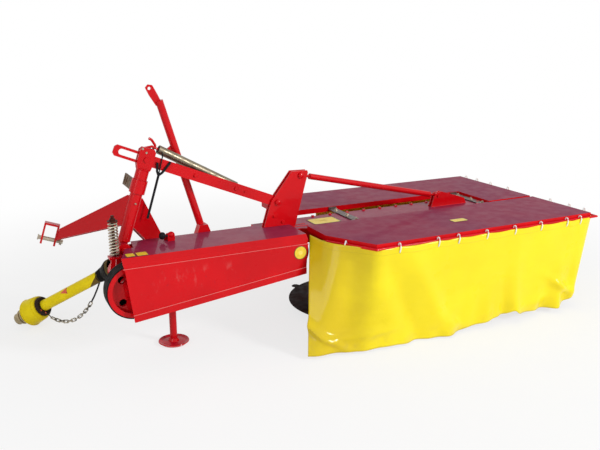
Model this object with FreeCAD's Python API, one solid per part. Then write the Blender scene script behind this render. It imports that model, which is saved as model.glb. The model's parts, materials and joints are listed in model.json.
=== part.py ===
"""Two-drum rotary mower with V-belt drive, parked on its skid dishes and its stand.

Frame: millimetres, +X from the hitch towards the outer drum, +Y the direction of travel
(towards the tractor), +Z up.  The origin is on the ground under the middle of the machine.
"""
import FreeCAD, Part

import math
import os

from FreeCAD import Vector as V

# ---------------------------------------------------------------- driving dimensions
# cutting unit
DRUM_SPACING = 800.0          # between the two drum axes
DRUM_LEFT_X = 280.0           # axis of the inner drum
DISC_RADIUS = 372.0
KNIFE_REACH = 50.0            # of the knives beyond the disc
KNIFE_COUNT = 3               # knives on each disc
KNIFE_WIDTH = 46.0
KNIFE_THICKNESS = 4.0
KNIFE_Z = 43.0                # underside of the knives
DISC_RIM_Z = 52.0             # underside of the disc's rim
DISC_SHEET = 5.0
DISC_RISE = 4.0               # of the disc's underside inside its sloping rim
DISC_SLOPE = 110.0            # width of the sloping rim
DISC_CROWN = 40.0             # rise of the drum's seat above the rim's underside
DRUM_FLARE = 40.0             # of the drum's foot beyond its wall
HUB_WALL = 12.0               # round the spindle of the skid dish
DRUM_RADIUS = 125.0
DRUM_WALL = 6.0
SKID_RADIUS = 265.0
SKID_FOOT_RADIUS = 150.0
SKID_HEIGHT = 34.0
DRUM_SHAFT_RADIUS = 26.0
SPINDLE_RADIUS = 24.0         # of the skid dish
RUNNING_GAP = 0.05            # radial, shaft in bore
SAFE_GAP = 6.0                # between bodies that pass each other
SEAT_GAP = 0.3                # between a loose piece and its seat

# gear beam and gearbox
GEAR_BEAM_BOTTOM = 468.0
GEAR_BEAM_TOP = 556.0
GEAR_BEAM_WIDTH = 190.0
GEAR_FLANGE_WIDTH = 216.0
GEAR_FLANGE_THICKNESS = 10.0
GEAR_BEAM_LEFT = -80.0
GEARBOX_LENGTH = 236.0
GEARBOX_WIDTH = 200.0
GEARBOX_BOTTOM = 392.0
GEARBOX_TOP = 556.0

# main beam, in the plane of the column
BEAM_Y = -40.0
BEAM_SIZE = 100.0
BEAM_WALL = 8.0
BEAM_BOTTOM = 462.0
BEAM_LEFT = -1010.0
EAR_THICKNESS = 12.0
EAR_RISE = 33.0               # of the foot ears above the column pivot
EAR_REACH = 60.0              # of the foot ears along the beam
PIN_OVERHANG = 8.0            # of the foot pin beyond the ears
HOUSING_WALL = 10.0           # of the gear beam and the gearbox
BEARING_RADIUS = 58.0         # of the bosses inside the gear beam

# belt drive
BELT_Y = -222.0               # middle plane of the belts
BIG_PULLEY_X = -1060.0
BIG_PULLEY_Z = 400.0
BIG_PULLEY_RADIUS = 132.0
PULLEY_WIDTH = 76.0
SMALL_PULLEY_X = -222.0
SMALL_PULLEY_Z = 474.0
SMALL_PULLEY_RADIUS = 80.0
BELT_COUNT = 4
BELT_THICKNESS = 10.0
INPUT_SHAFT_RADIUS = 22.0
HOUSING_RADIUS = 46.0

# belt guard
GUARD_Y = -300.0              # outer face of the side sheet
GUARD_FAR_Y = 0.0
GUARD_FAR_LEFT = -1014.0      # left end of the far edge, clear of the column foot
GUARD_TOP = 575.0
GUARD_SHEET = 3.0
GUARD_LEFT_TOP = -1119.0
GUARD_LEFT_BOTTOM = -1082.0
GUARD_RIGHT_TOP = -156.0
GUARD_RIGHT_BOTTOM = -172.0
GUARD_BOTTOM_LEFT_Z = 262.0
GUARD_BOTTOM_RIGHT_Z = 370.0
GUARD_LIP = 34.0
GUARD_JOGGLE = 8.0

# inclined column, given along its own axis from the foot pivot
COLUMN_X = -1066.0
COLUMN_Z = 560.0
COLUMN_TILT = 18.3            # degrees, top towards +X
POST_RADIUS = 22.0
FOOT_BOSS_RADIUS = 34.0
FOOT_PIN_RADIUS = 12.5
SLEEVE_START = 52.0
SLEEVE_END = 284.0
SLEEVE_RADIUS = 30.2
COLLAR_END = 352.0
COLLAR_RADIUS = 39.0
CAP_END = 404.0
CAP_RADIUS = 32.5
HEAD_PIN_S = 455.0
HEAD_PIN_RADIUS = 12.0
HEAD_END = 512.0

# hitch frame, in the column's own directions
HITCH_TURN = -10.0             # degrees about the column from square across
HITCH_HALF_SPREAD = 341.5
HITCH_FORWARD = 360.0
HITCH_DROP = -118.0
HITCH_PIN_RADIUS = 11.0
CLEVIS_INNER = 58.0
TOP_LINK_REACH = 160.0
TOP_LINK_TURN = 0.0
CLEVIS_PLATE = 10.0
ARM_TOP_SLOPE = 0.78          # fall of the arm per length outwards
ARM_BOTTOM_SLOPE = 0.52
ARM_WIDTH = 32.0

# lift bar and its bracket
BAR_THICKNESS = 12.0
BAR_HEIGHT = 56.0
BAR_PIN_X = -222.0
BAR_PIN_Z = 706.0
BAR_PIN_RADIUS = 12.5
SLOT_TRAVEL = 124.0
SLOT_PLAY = 3.0               # above and below the pin in the slot
BRACKET_PLATE = 8.0
CHEEK_ROOM = 4.0              # between the bar and each cheek
TIE_PIN_RADIUS = 10.0
APEX_X = -84.0
APEX_Z = 842.0
TIE_LUG_X = 880.0
TIE_LUG_Z = 622.0
TIE_RADIUS = 16.5
STAY_Y = 55.0
STAY_RADIUS = 19.5
RELIEF_Y = 4.0
RELIEF_RADIUS = 22.5
SUPPORT_RADIUS = 6.0
TIE_EYE = 18.0                # width of the flattened outer end

# covers
COVER_TOP = 575.0
COVER_SHEET = 3.0
COVER_LIP = 30.0
COVER_LEFT = -80.0
COVER_RIGHT = 1540.0
COVER_EDGE_Y = 600.0          # from the middle to the outer edge, each way
CHAMFER_X = 151.0             # of the rear cover's inner corner
CHAMFER_Y = 260.0
FAR_CHAMFER_X = 60.0          # of the front cover's inner corner
FAR_CHAMFER_Y = 100.0
REAR_HINGE_Y = -130.0         # edge of the rear cover beside the gear beam
FRONT_HINGE_Y = 200.0
CHANNEL_RIGHT = 1205.0        # where the channel between the covers ends
HINGE_Y = -122.0              # axis of the rear cover's hinge
HINGE_Z = 565.0
HINGE_PIN_RADIUS = 4.0
KNUCKLE_RADIUS = 8.5
KNUCKLE_LENGTH = 30.0
STRAP_LEFT_X = 255.0
STRAP_RIGHT_X = 1165.0
STRAP_WIDTH = 50.0
STRAP_THICKNESS = 6.0
RAIL_RADIUS = 7.0
RAIL_Z = 550.0
RAIL_REACH = 38.0             # from the cover's outer end to the rail's middle
CURTAIN_THICKNESS = 5.0
FRONT_CURTAIN_LEFT = 360.0    # where the front rail and its curtain begin

# stand
STAND_X = -827.0
STAND_RADIUS = 19.0
STAND_FOOT_RADIUS = 81.0
STAND_SOCKET_RADIUS = 24.0

# drive shaft to the tractor, resting on the ground
PTO_JOINT_Y = 150.0
PTO_HEADING = 137.6           # degrees from +X, seen from above
PTO_BELL_END = 655.0          # from the joint to the mouth of the bell
PTO_YOKE_REACH = 95.0         # of the yoke beyond the bell
PTO_YOKE_RADIUS = 33.0
PTO_BORE_RADIUS = 17.5
PTO_TUBE_RADIUS = 31.0
PTO_TUBE_WALL = 4.0
PTO_SHAFT_RADIUS = 22.0
PTO_BELL_RADIUS = 75.0
PTO_BELL_LENGTH = 95.0
PTO_BEARING_RADIUS = 55.0
PTO_BOOT_START = 20.0
PTO_BOOT_END = 90.0
PTO_BOOT_RADIUS = 60.0
PTO_BOOT_RIBS = 3
CROSS_RADIUS = 16.0
CROSS_PIN_RADIUS = 4.5
PTO_CROSS_REACH = 26.0        # of the cross's pins from its middle
NECK_RADIUS = 4.0             # of the shaft at the cross

# chain that keeps the guard from turning; it hangs in a catenary under the shaft
CHAIN_PITCH = 26.0
CHAIN_WIRE = 2.4              # half thickness of the link's bar
CHAIN_ROOM = 5.4              # half of the link's inner width
CHAIN_LINKS = 12
CHAIN_DROOP = 155.0           # parameter of the catenary
CHAIN_LOW_REACH = 364.0       # level distance of its lowest point from the joint
CHAIN_LOW_Z = 49.0
CHAIN_START = 109.0           # level distances of its two ends from the joint
CHAIN_END = 437.0
CHAIN_SLEEVE_RADIUS = 4.5     # of the sleeve over its first stretch

# safety spring beside the column foot
SPRING_X = -1121.0
SPRING_Y = -128.0
SPRING_BOTTOM = 549.0
SPRING_LENGTH = 172.0
SPRING_COILS = 11
SPRING_RADIUS = 21.0          # to the middle of the wire
SPRING_WIRE = 4.0             # radius of the wire

PARTS = {}


# ---------------------------------------------------------------- small helpers
def block(x0, x1, y0, y1, z0, z1):
    """Box between two corners."""
    return Part.makeBox(x1 - x0, y1 - y0, z1 - z0, V(x0, y0, z0))


def rod(start, end, radius):
    """Round bar between two points."""
    start, end = V(start), V(end)
    return Part.makeCylinder(radius, (end - start).Length, start, end - start)


def pipe(start, end, outer, inner):
    """Round tube between two points."""
    return rod(start, end, outer).cut(rod(start, end, inner))


def prism(points, direction):
    """Flat outline pushed along a direction."""
    points = [V(p) for p in points]
    return Part.Face(Part.makePolygon(points + points[:1])).extrude(V(direction))


def plate_xz(outline, y0, y1):
    """Plate in the X-Z plane between two values of Y."""
    return prism([(x, y0, z) for x, z in outline], (0, y1 - y0, 0))


def plate_xy(outline, z0, z1):
    """Plate in the X-Y plane between two heights."""
    return prism([(x, y, z0) for x, y in outline], (0, 0, z1 - z0))


def plate_yz(outline, x0, x1):
    """Plate in the Y-Z plane between two values of X."""
    return prism([(x0, y, z) for y, z in outline], (x1 - x0, 0, 0))


def turned(profile, centre):
    """Solid of revolution about a vertical axis; the profile gives (radius, z)."""
    x, y = centre
    points = [V(x + r, y, z) for r, z in profile]
    face = Part.Face(Part.makePolygon(points + points[:1]))
    return face.revolve(V(x, y, 0), V(0, 0, 1), 360)


def turned_about(profile, centre, way):
    """Solid of revolution about any axis; the profile gives (radius, distance along it)."""
    points = [V(r, 0, d) for r, d in profile]
    face = Part.Face(Part.makePolygon(points + points[:1]))
    solid = face.revolve(V(0, 0, 0), V(0, 0, 1), 360)
    solid.Placement = FreeCAD.Placement(centre, FreeCAD.Rotation(V(0, 0, 1), way))
    return solid


def join(*shapes):
    """One solid from shapes that meet."""
    result = shapes[0].multiFuse(list(shapes[1:])) if len(shapes) > 1 else shapes[0]
    return result.removeSplitter()


def swept(points, section):
    """Section carried along straight runs, mitred at each corner."""
    sweep = Part.BRepOffsetAPI.MakePipeShell(Part.makePolygon(points))
    sweep.setTransitionMode(1)
    sweep.add(section)
    sweep.build()
    sweep.makeSolid()
    return sweep.shape()


def bent_rod(points, radius):
    """Round bar through a row of points, mitred at each bend."""
    return swept(points, Part.Wire(Part.makeCircle(radius, points[0], points[1] - points[0])))


def on_column(shape, turn=0.0):
    """Move a shape modelled about a vertical axis on to the inclined column."""
    shape = shape.copy()
    shape.rotate(V(0, 0, 0), V(0, 0, 1), turn)
    shape.rotate(V(0, 0, 0), V(0, 1, 0), COLUMN_TILT)
    shape.translate(V(COLUMN_X, BEAM_Y, COLUMN_Z))
    return shape


def column_point(s, u=0.0, v=0.0, turn=0.0):
    """Point in the machine's frame: s along the column, u across it, v towards +Y."""
    tilt, spin = math.radians(COLUMN_TILT), math.radians(turn)
    across = u * math.cos(spin) - v * math.sin(spin)
    ahead = u * math.sin(spin) + v * math.cos(spin)
    x = COLUMN_X + across * math.cos(tilt) + s * math.sin(tilt)
    z = COLUMN_Z - across * math.sin(tilt) + s * math.cos(tilt)
    return V(x, BEAM_Y + ahead, z)


def drum_centres():
    """Axes of the inner and the outer drum."""
    return {"left": DRUM_LEFT_X, "right": DRUM_LEFT_X + DRUM_SPACING}


def keep(name, shape):
    """Record a finished piece."""
    PARTS[name] = shape


# ---------------------------------------------------------------- cutting unit
def drum(x):
    """Hollow drum with a flared foot, the shaft that turns in the gear beam and the spindle's hub."""
    foot, top = DISC_RIM_Z + DISC_CROWN, GEAR_BEAM_BOTTOM - SAFE_GAP
    wall, r, bore = DRUM_WALL, DRUM_RADIUS, SPINDLE_RADIUS + RUNNING_GAP
    shaft, hub = DRUM_SHAFT_RADIUS, SPINDLE_RADIUS + HUB_WALL
    hub_top = DISC_RIM_Z + 62
    return turned([
        (bore, DISC_RIM_Z + DISC_RISE), (hub, DISC_RIM_Z + DISC_RISE), (hub, hub_top + 24),
        (shaft, hub_top + 24), (shaft, top - 12), (r - wall, top - 12), (r - wall, foot + 90),
        (r + 14 - wall, foot + 34), (r + DRUM_FLARE - wall - 4, foot), (r + DRUM_FLARE, foot),
        (r + 14, foot + 36), (r, foot + 90), (r, top - 30), (r + 5, top - 26), (r + 5, top),
        (shaft, top), (shaft, GEAR_BEAM_BOTTOM + 50), (0, GEAR_BEAM_BOTTOM + 50),
        (0, hub_top + 12), (bore, hub_top + 12),
    ], (x, 0))


def disc(x):
    """Dished disc under the drum's foot: flat plate, sloping rim and raised crown."""
    rim, under, sheet = DISC_RIM_Z, DISC_RIM_Z + DISC_RISE, DISC_SHEET
    flat, crown, seat = DISC_RADIUS - DISC_SLOPE, DISC_RIM_Z + DISC_CROWN, DRUM_RADIUS + DRUM_FLARE
    hub = SPINDLE_RADIUS + HUB_WALL + SEAT_GAP
    return turned([
        (hub, under), (flat, under), (DISC_RADIUS, rim), (DISC_RADIUS, rim + sheet),
        (flat + 4, under + sheet + 1), (seat, crown), (seat - 46, crown), (seat - 46, crown - sheet),
        (seat - 3, crown - sheet), (flat - 2, under + sheet), (hub, under + sheet),
    ], (x, 0))


def knives(x, start):
    """Free-swinging knives under the rim of the disc, each with its holder bolt."""
    pieces = []
    inner = DISC_RADIUS - 62
    tip = DISC_RADIUS + KNIFE_REACH
    half = KNIFE_WIDTH / 2
    for index in range(KNIFE_COUNT):
        outline = [
            (inner, -half), (tip - 13, -half), (tip, -half + 10), (tip, half - 10), (tip - 13, half), (inner, half),
        ]
        blade = plate_xy(outline, KNIFE_Z, KNIFE_Z + KNIFE_THICKNESS)
        seat = DISC_RIM_Z + DISC_RISE * (DISC_RADIUS - inner - 33) / DISC_SLOPE - 0.1
        bolt = rod((inner + 22, 0, KNIFE_Z - 5), (inner + 22, 0, seat), 11)
        knife = join(blade, bolt)
        knife.rotate(V(0, 0, 0), V(0, 0, 1), start + index * 360.0 / KNIFE_COUNT)
        knife.translate(V(x, 0, 0))
        pieces.append(knife)
    return Part.makeCompound(pieces)


def skid(x):
    """Free-turning skid dish on its own spindle under the drum."""
    profile = [
        (0, 0), (SKID_FOOT_RADIUS, 0), (SKID_RADIUS - 10, SKID_HEIGHT - 8),
        (SKID_RADIUS, SKID_HEIGHT - 2), (SKID_RADIUS - 3, SKID_HEIGHT),
        (SKID_RADIUS - 12, SKID_HEIGHT - 3), (SKID_FOOT_RADIUS - 4, 5),
        (SPINDLE_RADIUS + 16, 5), (SPINDLE_RADIUS + 16, DISC_RIM_Z + DISC_RISE - SEAT_GAP),
        (SPINDLE_RADIUS, DISC_RIM_Z + DISC_RISE - SEAT_GAP), (SPINDLE_RADIUS, DISC_RIM_Z + 70),
        (0, DISC_RIM_Z + 70),
    ]
    return turned(profile, (x, 0))


def gear_beam():
    """Flat hollow housing with the drive to both drums, its bolted lid and shaft bosses."""
    right = drum_centres()["right"]
    half, lid, wall = GEAR_BEAM_WIDTH / 2, GEAR_FLANGE_WIDTH / 2, HOUSING_WALL
    bottom, top = GEAR_BEAM_BOTTOM, GEAR_BEAM_TOP
    lid_z = top - GEAR_FLANGE_THICKNESS
    left = GEAR_BEAM_LEFT
    body = join(
        block(left, right, -half, half, bottom, top),
        Part.makeCylinder(half, top - bottom, V(right, 0, bottom)),
        block(left, right, -lid, lid, lid_z, top),
        Part.makeCylinder(lid, GEAR_FLANGE_THICKNESS, V(right, 0, lid_z)),
    )
    room = join(
        block(left + wall, right, wall - half, half - wall, bottom + wall, lid_z),
        Part.makeCylinder(half - wall, lid_z - bottom - wall, V(right, 0, bottom + wall)),
    )
    bosses = [Part.makeCylinder(BEARING_RADIUS, lid_z - bottom, V(x, 0, bottom))
              for x in drum_centres().values()]
    beam = body.cut(room.cut(Part.makeCompound(bosses)))
    for x in drum_centres().values():
        depth = 50 + SAFE_GAP
        beam = beam.cut(Part.makeCylinder(
            DRUM_SHAFT_RADIUS + RUNNING_GAP, depth, V(x, 0, bottom)))
    return beam


def bevel_gearbox():
    """Gearbox between the belt drive and the gear beam, with the driven pulley's bearing."""
    x1 = GEAR_BEAM_LEFT
    x0 = x1 - GEARBOX_LENGTH
    half, wall = GEARBOX_WIDTH / 2, HOUSING_WALL
    x, z = SMALL_PULLEY_X, SMALL_PULLEY_Z
    near = BELT_Y + PULLEY_WIDTH / 2 + SAFE_GAP
    nose = rod((x, near, z), (x, 20, z), HOUSING_RADIUS)
    room = block(x0 + wall, x1 - wall, wall - half, half - wall, GEARBOX_BOTTOM + wall, GEARBOX_TOP - wall)
    body = block(x0, x1, -half, half, GEARBOX_BOTTOM, GEARBOX_TOP).cut(room.cut(nose))
    bore = rod((x, near - 1, z), (x, 20, z), INPUT_SHAFT_RADIUS + RUNNING_GAP)
    return join(body, nose).cut(bore)


# ---------------------------------------------------------------- main beam
def stand_height():
    """Top of the parked leg."""
    return GUARD_TOP + 29


def main_beam():
    """Square tube from the column foot to the gearbox, with the stand's socket."""
    half = BEAM_SIZE / 2
    top = BEAM_BOTTOM + BEAM_SIZE
    right = GEAR_BEAM_LEFT - GEARBOX_LENGTH
    y0, y1 = BEAM_Y - half, BEAM_Y + half
    wall = BEAM_WALL
    tube = block(BEAM_LEFT, right, y0, y1, BEAM_BOTTOM, top)
    tube = tube.cut(block(BEAM_LEFT + wall, right - wall, y0 + wall, y1 - wall,
                          BEAM_BOTTOM + wall, top - wall))
    socket = rod((STAND_X, BEAM_Y, BEAM_BOTTOM - 70), (STAND_X, BEAM_Y, GUARD_TOP + 9), STAND_SOCKET_RADIUS)
    return join(tube, socket).cut(rod((STAND_X, BEAM_Y, BEAM_BOTTOM - 71), (STAND_X, BEAM_Y, GUARD_TOP + 10),
                                      STAND_RADIUS + RUNNING_GAP))


def foot_ears():
    """Ears on both sides of the beam, for the column's pin and the input housing."""
    y0, y1 = BEAM_Y - BEAM_SIZE / 2, BEAM_Y + BEAM_SIZE / 2
    top = BEAM_BOTTOM + BEAM_SIZE
    x, z = BIG_PULLEY_X, BIG_PULLEY_Z
    outline = [
        (BEAM_LEFT + EAR_REACH, BEAM_BOTTOM), (BEAM_LEFT + EAR_REACH, top - 6), (COLUMN_X + 36, top - 6),
        (COLUMN_X + 28, COLUMN_Z + EAR_RISE - 14), (COLUMN_X + 12, COLUMN_Z + EAR_RISE),
        (COLUMN_X - 16, COLUMN_Z + EAR_RISE), (COLUMN_X - 32, COLUMN_Z + EAR_RISE - 12),
        (COLUMN_X - 38, COLUMN_Z), (x - 62, z + 24), (x - 62, z - 24), (x - 32, z - 62),
        (x + 32, z - 62), (x + 66, z - 24), (x + 80, BEAM_BOTTOM),
    ]
    seat = block(SPRING_X - 30, COLUMN_X - 20, SPRING_Y - 26, y0 - EAR_THICKNESS,
                 SPRING_BOTTOM - SEAT_GAP - 10, SPRING_BOTTOM - SEAT_GAP)
    near = join(plate_xz(outline, y0 - EAR_THICKNESS, y0), seat)
    far = plate_xz(outline, y1, y1 + EAR_THICKNESS)
    ears = []
    for ear in (near, far):
        ear = ear.cut(rod((x, y0 - 20, z), (x, y1 + 20, z), HOUSING_RADIUS))
        ears.append(ear.cut(rod((COLUMN_X, y0 - 20, COLUMN_Z), (COLUMN_X, y1 + 20, COLUMN_Z),
                                FOOT_PIN_RADIUS + RUNNING_GAP)))
    return Part.makeCompound(ears)


def input_housing():
    """Bearing housing of the big pulley's shaft, flanged to both foot ears, with a shield cup."""
    x, z = BIG_PULLEY_X, BIG_PULLEY_Z
    near = BELT_Y + PULLEY_WIDTH / 2 + SAFE_GAP
    flange = BEAM_Y + BEAM_SIZE / 2 + EAR_THICKNESS
    far = flange + 30
    tube = rod((x, near, z), (x, far, z), HOUSING_RADIUS)
    plate = rod((x, flange, z), (x, flange + 12, z), HOUSING_RADIUS + 14)
    cup = pipe((x, flange, z), (x, far + 46, z), HOUSING_RADIUS + 14, HOUSING_RADIUS + 9)
    bore = rod((x, near - 1, z), (x, far + 1, z), INPUT_SHAFT_RADIUS + RUNNING_GAP)
    return join(tube, plate, cup).cut(bore)


def stand():
    """Parking stand: a round leg in its socket, with a dished foot plate."""
    top, r = stand_height(), STAND_RADIUS
    return turned([
        (0, 0), (STAND_FOOT_RADIUS - 14, 0), (STAND_FOOT_RADIUS, 12), (STAND_FOOT_RADIUS - 2, 16),
        (STAND_FOOT_RADIUS - 20, 10), (r + 10, 14), (r + 4, 30), (r, 30),
        (r, top - 8), (r - 8, top), (0, top),
    ], (STAND_X, BEAM_Y))


# ---------------------------------------------------------------- belt drive
def pulley_profile(radius, width):
    """Half section of a grooved pulley, as (radius, offset along the shaft)."""
    half = width / 2
    pitch = width / BELT_COUNT
    points = [(0, -half), (radius, -half)]
    for index in range(BELT_COUNT):
        start = -half + index * pitch
        points += [(radius, start + 2), (radius - BELT_THICKNESS, start + 6),
                   (radius - BELT_THICKNESS, start + pitch - 6), (radius, start + pitch - 2)]
    points += [(radius, half), (0, half)]
    return points


def pulley(x, z, radius):
    """Grooved pulley about an axis along Y."""
    points = [V(x + r, BELT_Y + w, z) for r, w in pulley_profile(radius, PULLEY_WIDTH)]
    face = Part.Face(Part.makePolygon(points + points[:1]))
    return face.revolve(V(x, 0, z), V(0, 1, 0), 360)


def big_pulley():
    """Big pulley with its dished web, round and kidney openings, and its shaft."""
    x, z = BIG_PULLEY_X, BIG_PULLEY_Z
    half = PULLEY_WIDTH / 2
    wheel = pulley(x, z, BIG_PULLEY_RADIUS)
    near = rod((x, BELT_Y - half - 1, z), (x, BELT_Y - 9, z), BIG_PULLEY_RADIUS - 22)
    far = rod((x, BELT_Y + 9, z), (x, BELT_Y + half + 1, z), BIG_PULLEY_RADIUS - 22)
    wheel = wheel.cut(near).cut(far)
    for index in range(4):
        angle = math.radians(45 + 90 * index)
        cx, cz = x + 80 * math.cos(angle), z + 80 * math.sin(angle)
        wheel = wheel.cut(rod((cx, BELT_Y - half, cz), (cx, BELT_Y + half, cz), 19))
    hub = rod((x, BELT_Y - half + 6, z), (x, BELT_Y + half, z), 38)
    end = PTO_JOINT_Y - 44
    shaft = rod((x, BELT_Y - half + 6, z), (x, end, z), INPUT_SHAFT_RADIUS)
    return join(wheel, hub, shaft)


def small_pulley():
    """Driven pulley on the gearbox input."""
    x, z = SMALL_PULLEY_X, SMALL_PULLEY_Z
    wheel = pulley(x, z, SMALL_PULLEY_RADIUS)
    shaft = rod((x, BELT_Y, z), (x, 10, z), INPUT_SHAFT_RADIUS)
    return join(wheel, shaft)


def v_belts():
    """Set of V-belts round both pulleys: two arcs and two tangent runs each."""
    distance = math.hypot(SMALL_PULLEY_X - BIG_PULLEY_X, SMALL_PULLEY_Z - BIG_PULLEY_Z)
    slope = math.atan2(SMALL_PULLEY_Z - BIG_PULLEY_Z, SMALL_PULLEY_X - BIG_PULLEY_X)
    lean = math.asin((BIG_PULLEY_RADIUS - SMALL_PULLEY_RADIUS) / distance)

    def loop(outward):
        big, small = BIG_PULLEY_RADIUS + outward, SMALL_PULLEY_RADIUS + outward

        def at(cx, cz, radius, angle):
            return V(cx + radius * math.cos(angle), 0, cz + radius * math.sin(angle))
        up, down = slope + math.pi / 2 - lean, slope - math.pi / 2 + lean
        b_up = at(BIG_PULLEY_X, BIG_PULLEY_Z, big, up)
        b_back = at(BIG_PULLEY_X, BIG_PULLEY_Z, big, slope + math.pi)
        b_down = at(BIG_PULLEY_X, BIG_PULLEY_Z, big, down)
        s_up = at(SMALL_PULLEY_X, SMALL_PULLEY_Z, small, up)
        s_front = at(SMALL_PULLEY_X, SMALL_PULLEY_Z, small, slope)
        s_down = at(SMALL_PULLEY_X, SMALL_PULLEY_Z, small, down)
        return Part.Wire([
            Part.Arc(b_down, b_back, b_up).toShape(), Part.LineSegment(b_up, s_up).toShape(),
            Part.Arc(s_up, s_front, s_down).toShape(), Part.LineSegment(s_down, b_down).toShape(),
        ])
    outer, inner = loop(7), loop(SEAT_GAP)
    half = PULLEY_WIDTH / 2
    along = V(0, PULLEY_WIDTH, 0)
    ring = Part.Face(outer).extrude(along).cut(Part.Face(inner).extrude(along))
    ring.translate(V(0, BELT_Y - half, 0))
    return ring


def belt_guard():
    """Tapered sheet casing over the belts: side, joggled lips, bevelled top and far lip."""
    t, y = GUARD_SHEET, GUARD_Y
    x0t, x0b, x1t, x1b = GUARD_LEFT_TOP, GUARD_LEFT_BOTTOM, GUARD_RIGHT_TOP, GUARD_RIGHT_BOTTOM
    z0, z1 = GUARD_BOTTOM_LEFT_Z, GUARD_BOTTOM_RIGHT_Z
    side_top = GUARD_TOP - 46

    def left_at(z):
        return x0b + (x0t - x0b) * (z - z0) / (GUARD_TOP - z0)

    def right_at(z):
        return x1b + (x1t - x1b) * (z - z1) / (GUARD_TOP - z1)
    side = plate_xz([(x0b, z0), (x1b, z1), (right_at(side_top), side_top), (left_at(side_top), side_top)],
                    y, y + t)
    lip = plate_xz([(x0b, z0), (x1b, z1), (x1b, z1 + GUARD_LIP), (left_at(z0 + GUARD_LIP), z0 + GUARD_LIP)],
                   y - GUARD_JOGGLE, y + t)
    band = plate_xz([(left_at(side_top), side_top), (right_at(side_top), side_top),
                     (x1t, GUARD_TOP - 24), (x0t, GUARD_TOP - 24)], y + GUARD_JOGGLE, y + GUARD_JOGGLE + t)
    joggle = block(x0t, x1t, y, y + GUARD_JOGGLE + t, side_top - t, side_top)
    bevel = plate_yz([
        (y + GUARD_JOGGLE, GUARD_TOP - 24), (y + GUARD_JOGGLE + t, GUARD_TOP - 24),
        (y + 32, GUARD_TOP - t), (y + 32, GUARD_TOP),
    ], x0t, x1t)
    near_ear = BEAM_Y - BEAM_SIZE / 2 - EAR_THICKNESS - PIN_OVERHANG - SAFE_GAP
    foot = COLUMN_X + FOOT_BOSS_RADIUS + SAFE_GAP
    top = plate_xy([(x0t, y + 32), (x1t, y + 32), (x1t, GUARD_FAR_Y), (GUARD_FAR_LEFT, GUARD_FAR_Y),
                    (foot, near_ear), (COLUMN_X, near_ear)], GUARD_TOP - t, GUARD_TOP)
    x0, x1, reach = bracket_foot()
    bracket_slot = block(x0 - 4, x1 + 4, BEAM_Y - reach - 4, GUARD_FAR_Y + 1, GUARD_TOP - 10, GUARD_TOP + 1)
    r = STAND_SOCKET_RADIUS + 1
    stand_slot = rod((STAND_X, BEAM_Y, GUARD_TOP - 10), (STAND_X, BEAM_Y, GUARD_TOP + 1), r)
    return join(side, lip, band, joggle, bevel, top).cut(bracket_slot).cut(stand_slot)


# ---------------------------------------------------------------- column and hitch
def column_post():
    """Post with its foot boss and pin, and the fixed tube under the head."""
    half = BEAM_SIZE / 2
    post = Part.makeCylinder(POST_RADIUS, CAP_END, V(0, 0, 0))
    cap = Part.makeCylinder(CAP_RADIUS, CAP_END - COLLAR_END - SEAT_GAP, V(0, 0, COLLAR_END + SEAT_GAP))
    ring = Part.makeCylinder(SLEEVE_RADIUS, 14, V(0, 0, SLEEVE_START - 14 - SEAT_GAP))
    upright = on_column(join(post, cap, ring))
    boss = rod((COLUMN_X, BEAM_Y - half + 0.5, COLUMN_Z), (COLUMN_X, BEAM_Y + half - 0.5, COLUMN_Z),
               FOOT_BOSS_RADIUS)
    reach = half + EAR_THICKNESS + PIN_OVERHANG
    pin = rod((COLUMN_X, BEAM_Y - reach, COLUMN_Z), (COLUMN_X, BEAM_Y + reach, COLUMN_Z), FOOT_PIN_RADIUS)
    return join(upright, boss, pin)


def column_head():
    """Fork on top of the column; its pin runs in the slot of the lift bar."""
    gap, cheek = BAR_THICKNESS / 2 + 0.5, 12
    outline = [(-CAP_RADIUS, CAP_END), (CAP_RADIUS, CAP_END), (38, CAP_END + 26), (38, HEAD_END - 14),
               (28, HEAD_END), (-30, HEAD_END), (-42, HEAD_END - 14), (-42, CAP_END + 26)]
    shapes = [plate_xz(outline, -gap - cheek, -gap), plate_xz(outline, gap, gap + cheek)]
    shapes.append(rod((0, -gap - cheek - 8, HEAD_PIN_S), (0, gap + cheek + 8, HEAD_PIN_S), HEAD_PIN_RADIUS))
    return on_column(join(*shapes))


def hitch_sleeve():
    """Sleeve that turns on the post, with the thicker collar on top of it."""
    sleeve = Part.makeCylinder(SLEEVE_RADIUS, SLEEVE_END - SLEEVE_START, V(0, 0, SLEEVE_START))
    collar = Part.makeCylinder(COLLAR_RADIUS, COLLAR_END - SLEEVE_END, V(0, 0, SLEEVE_END))
    bore = Part.makeCylinder(POST_RADIUS + RUNNING_GAP, COLLAR_END, V(0, 0, 0))
    return on_column(join(sleeve, collar).cut(bore))


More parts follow.
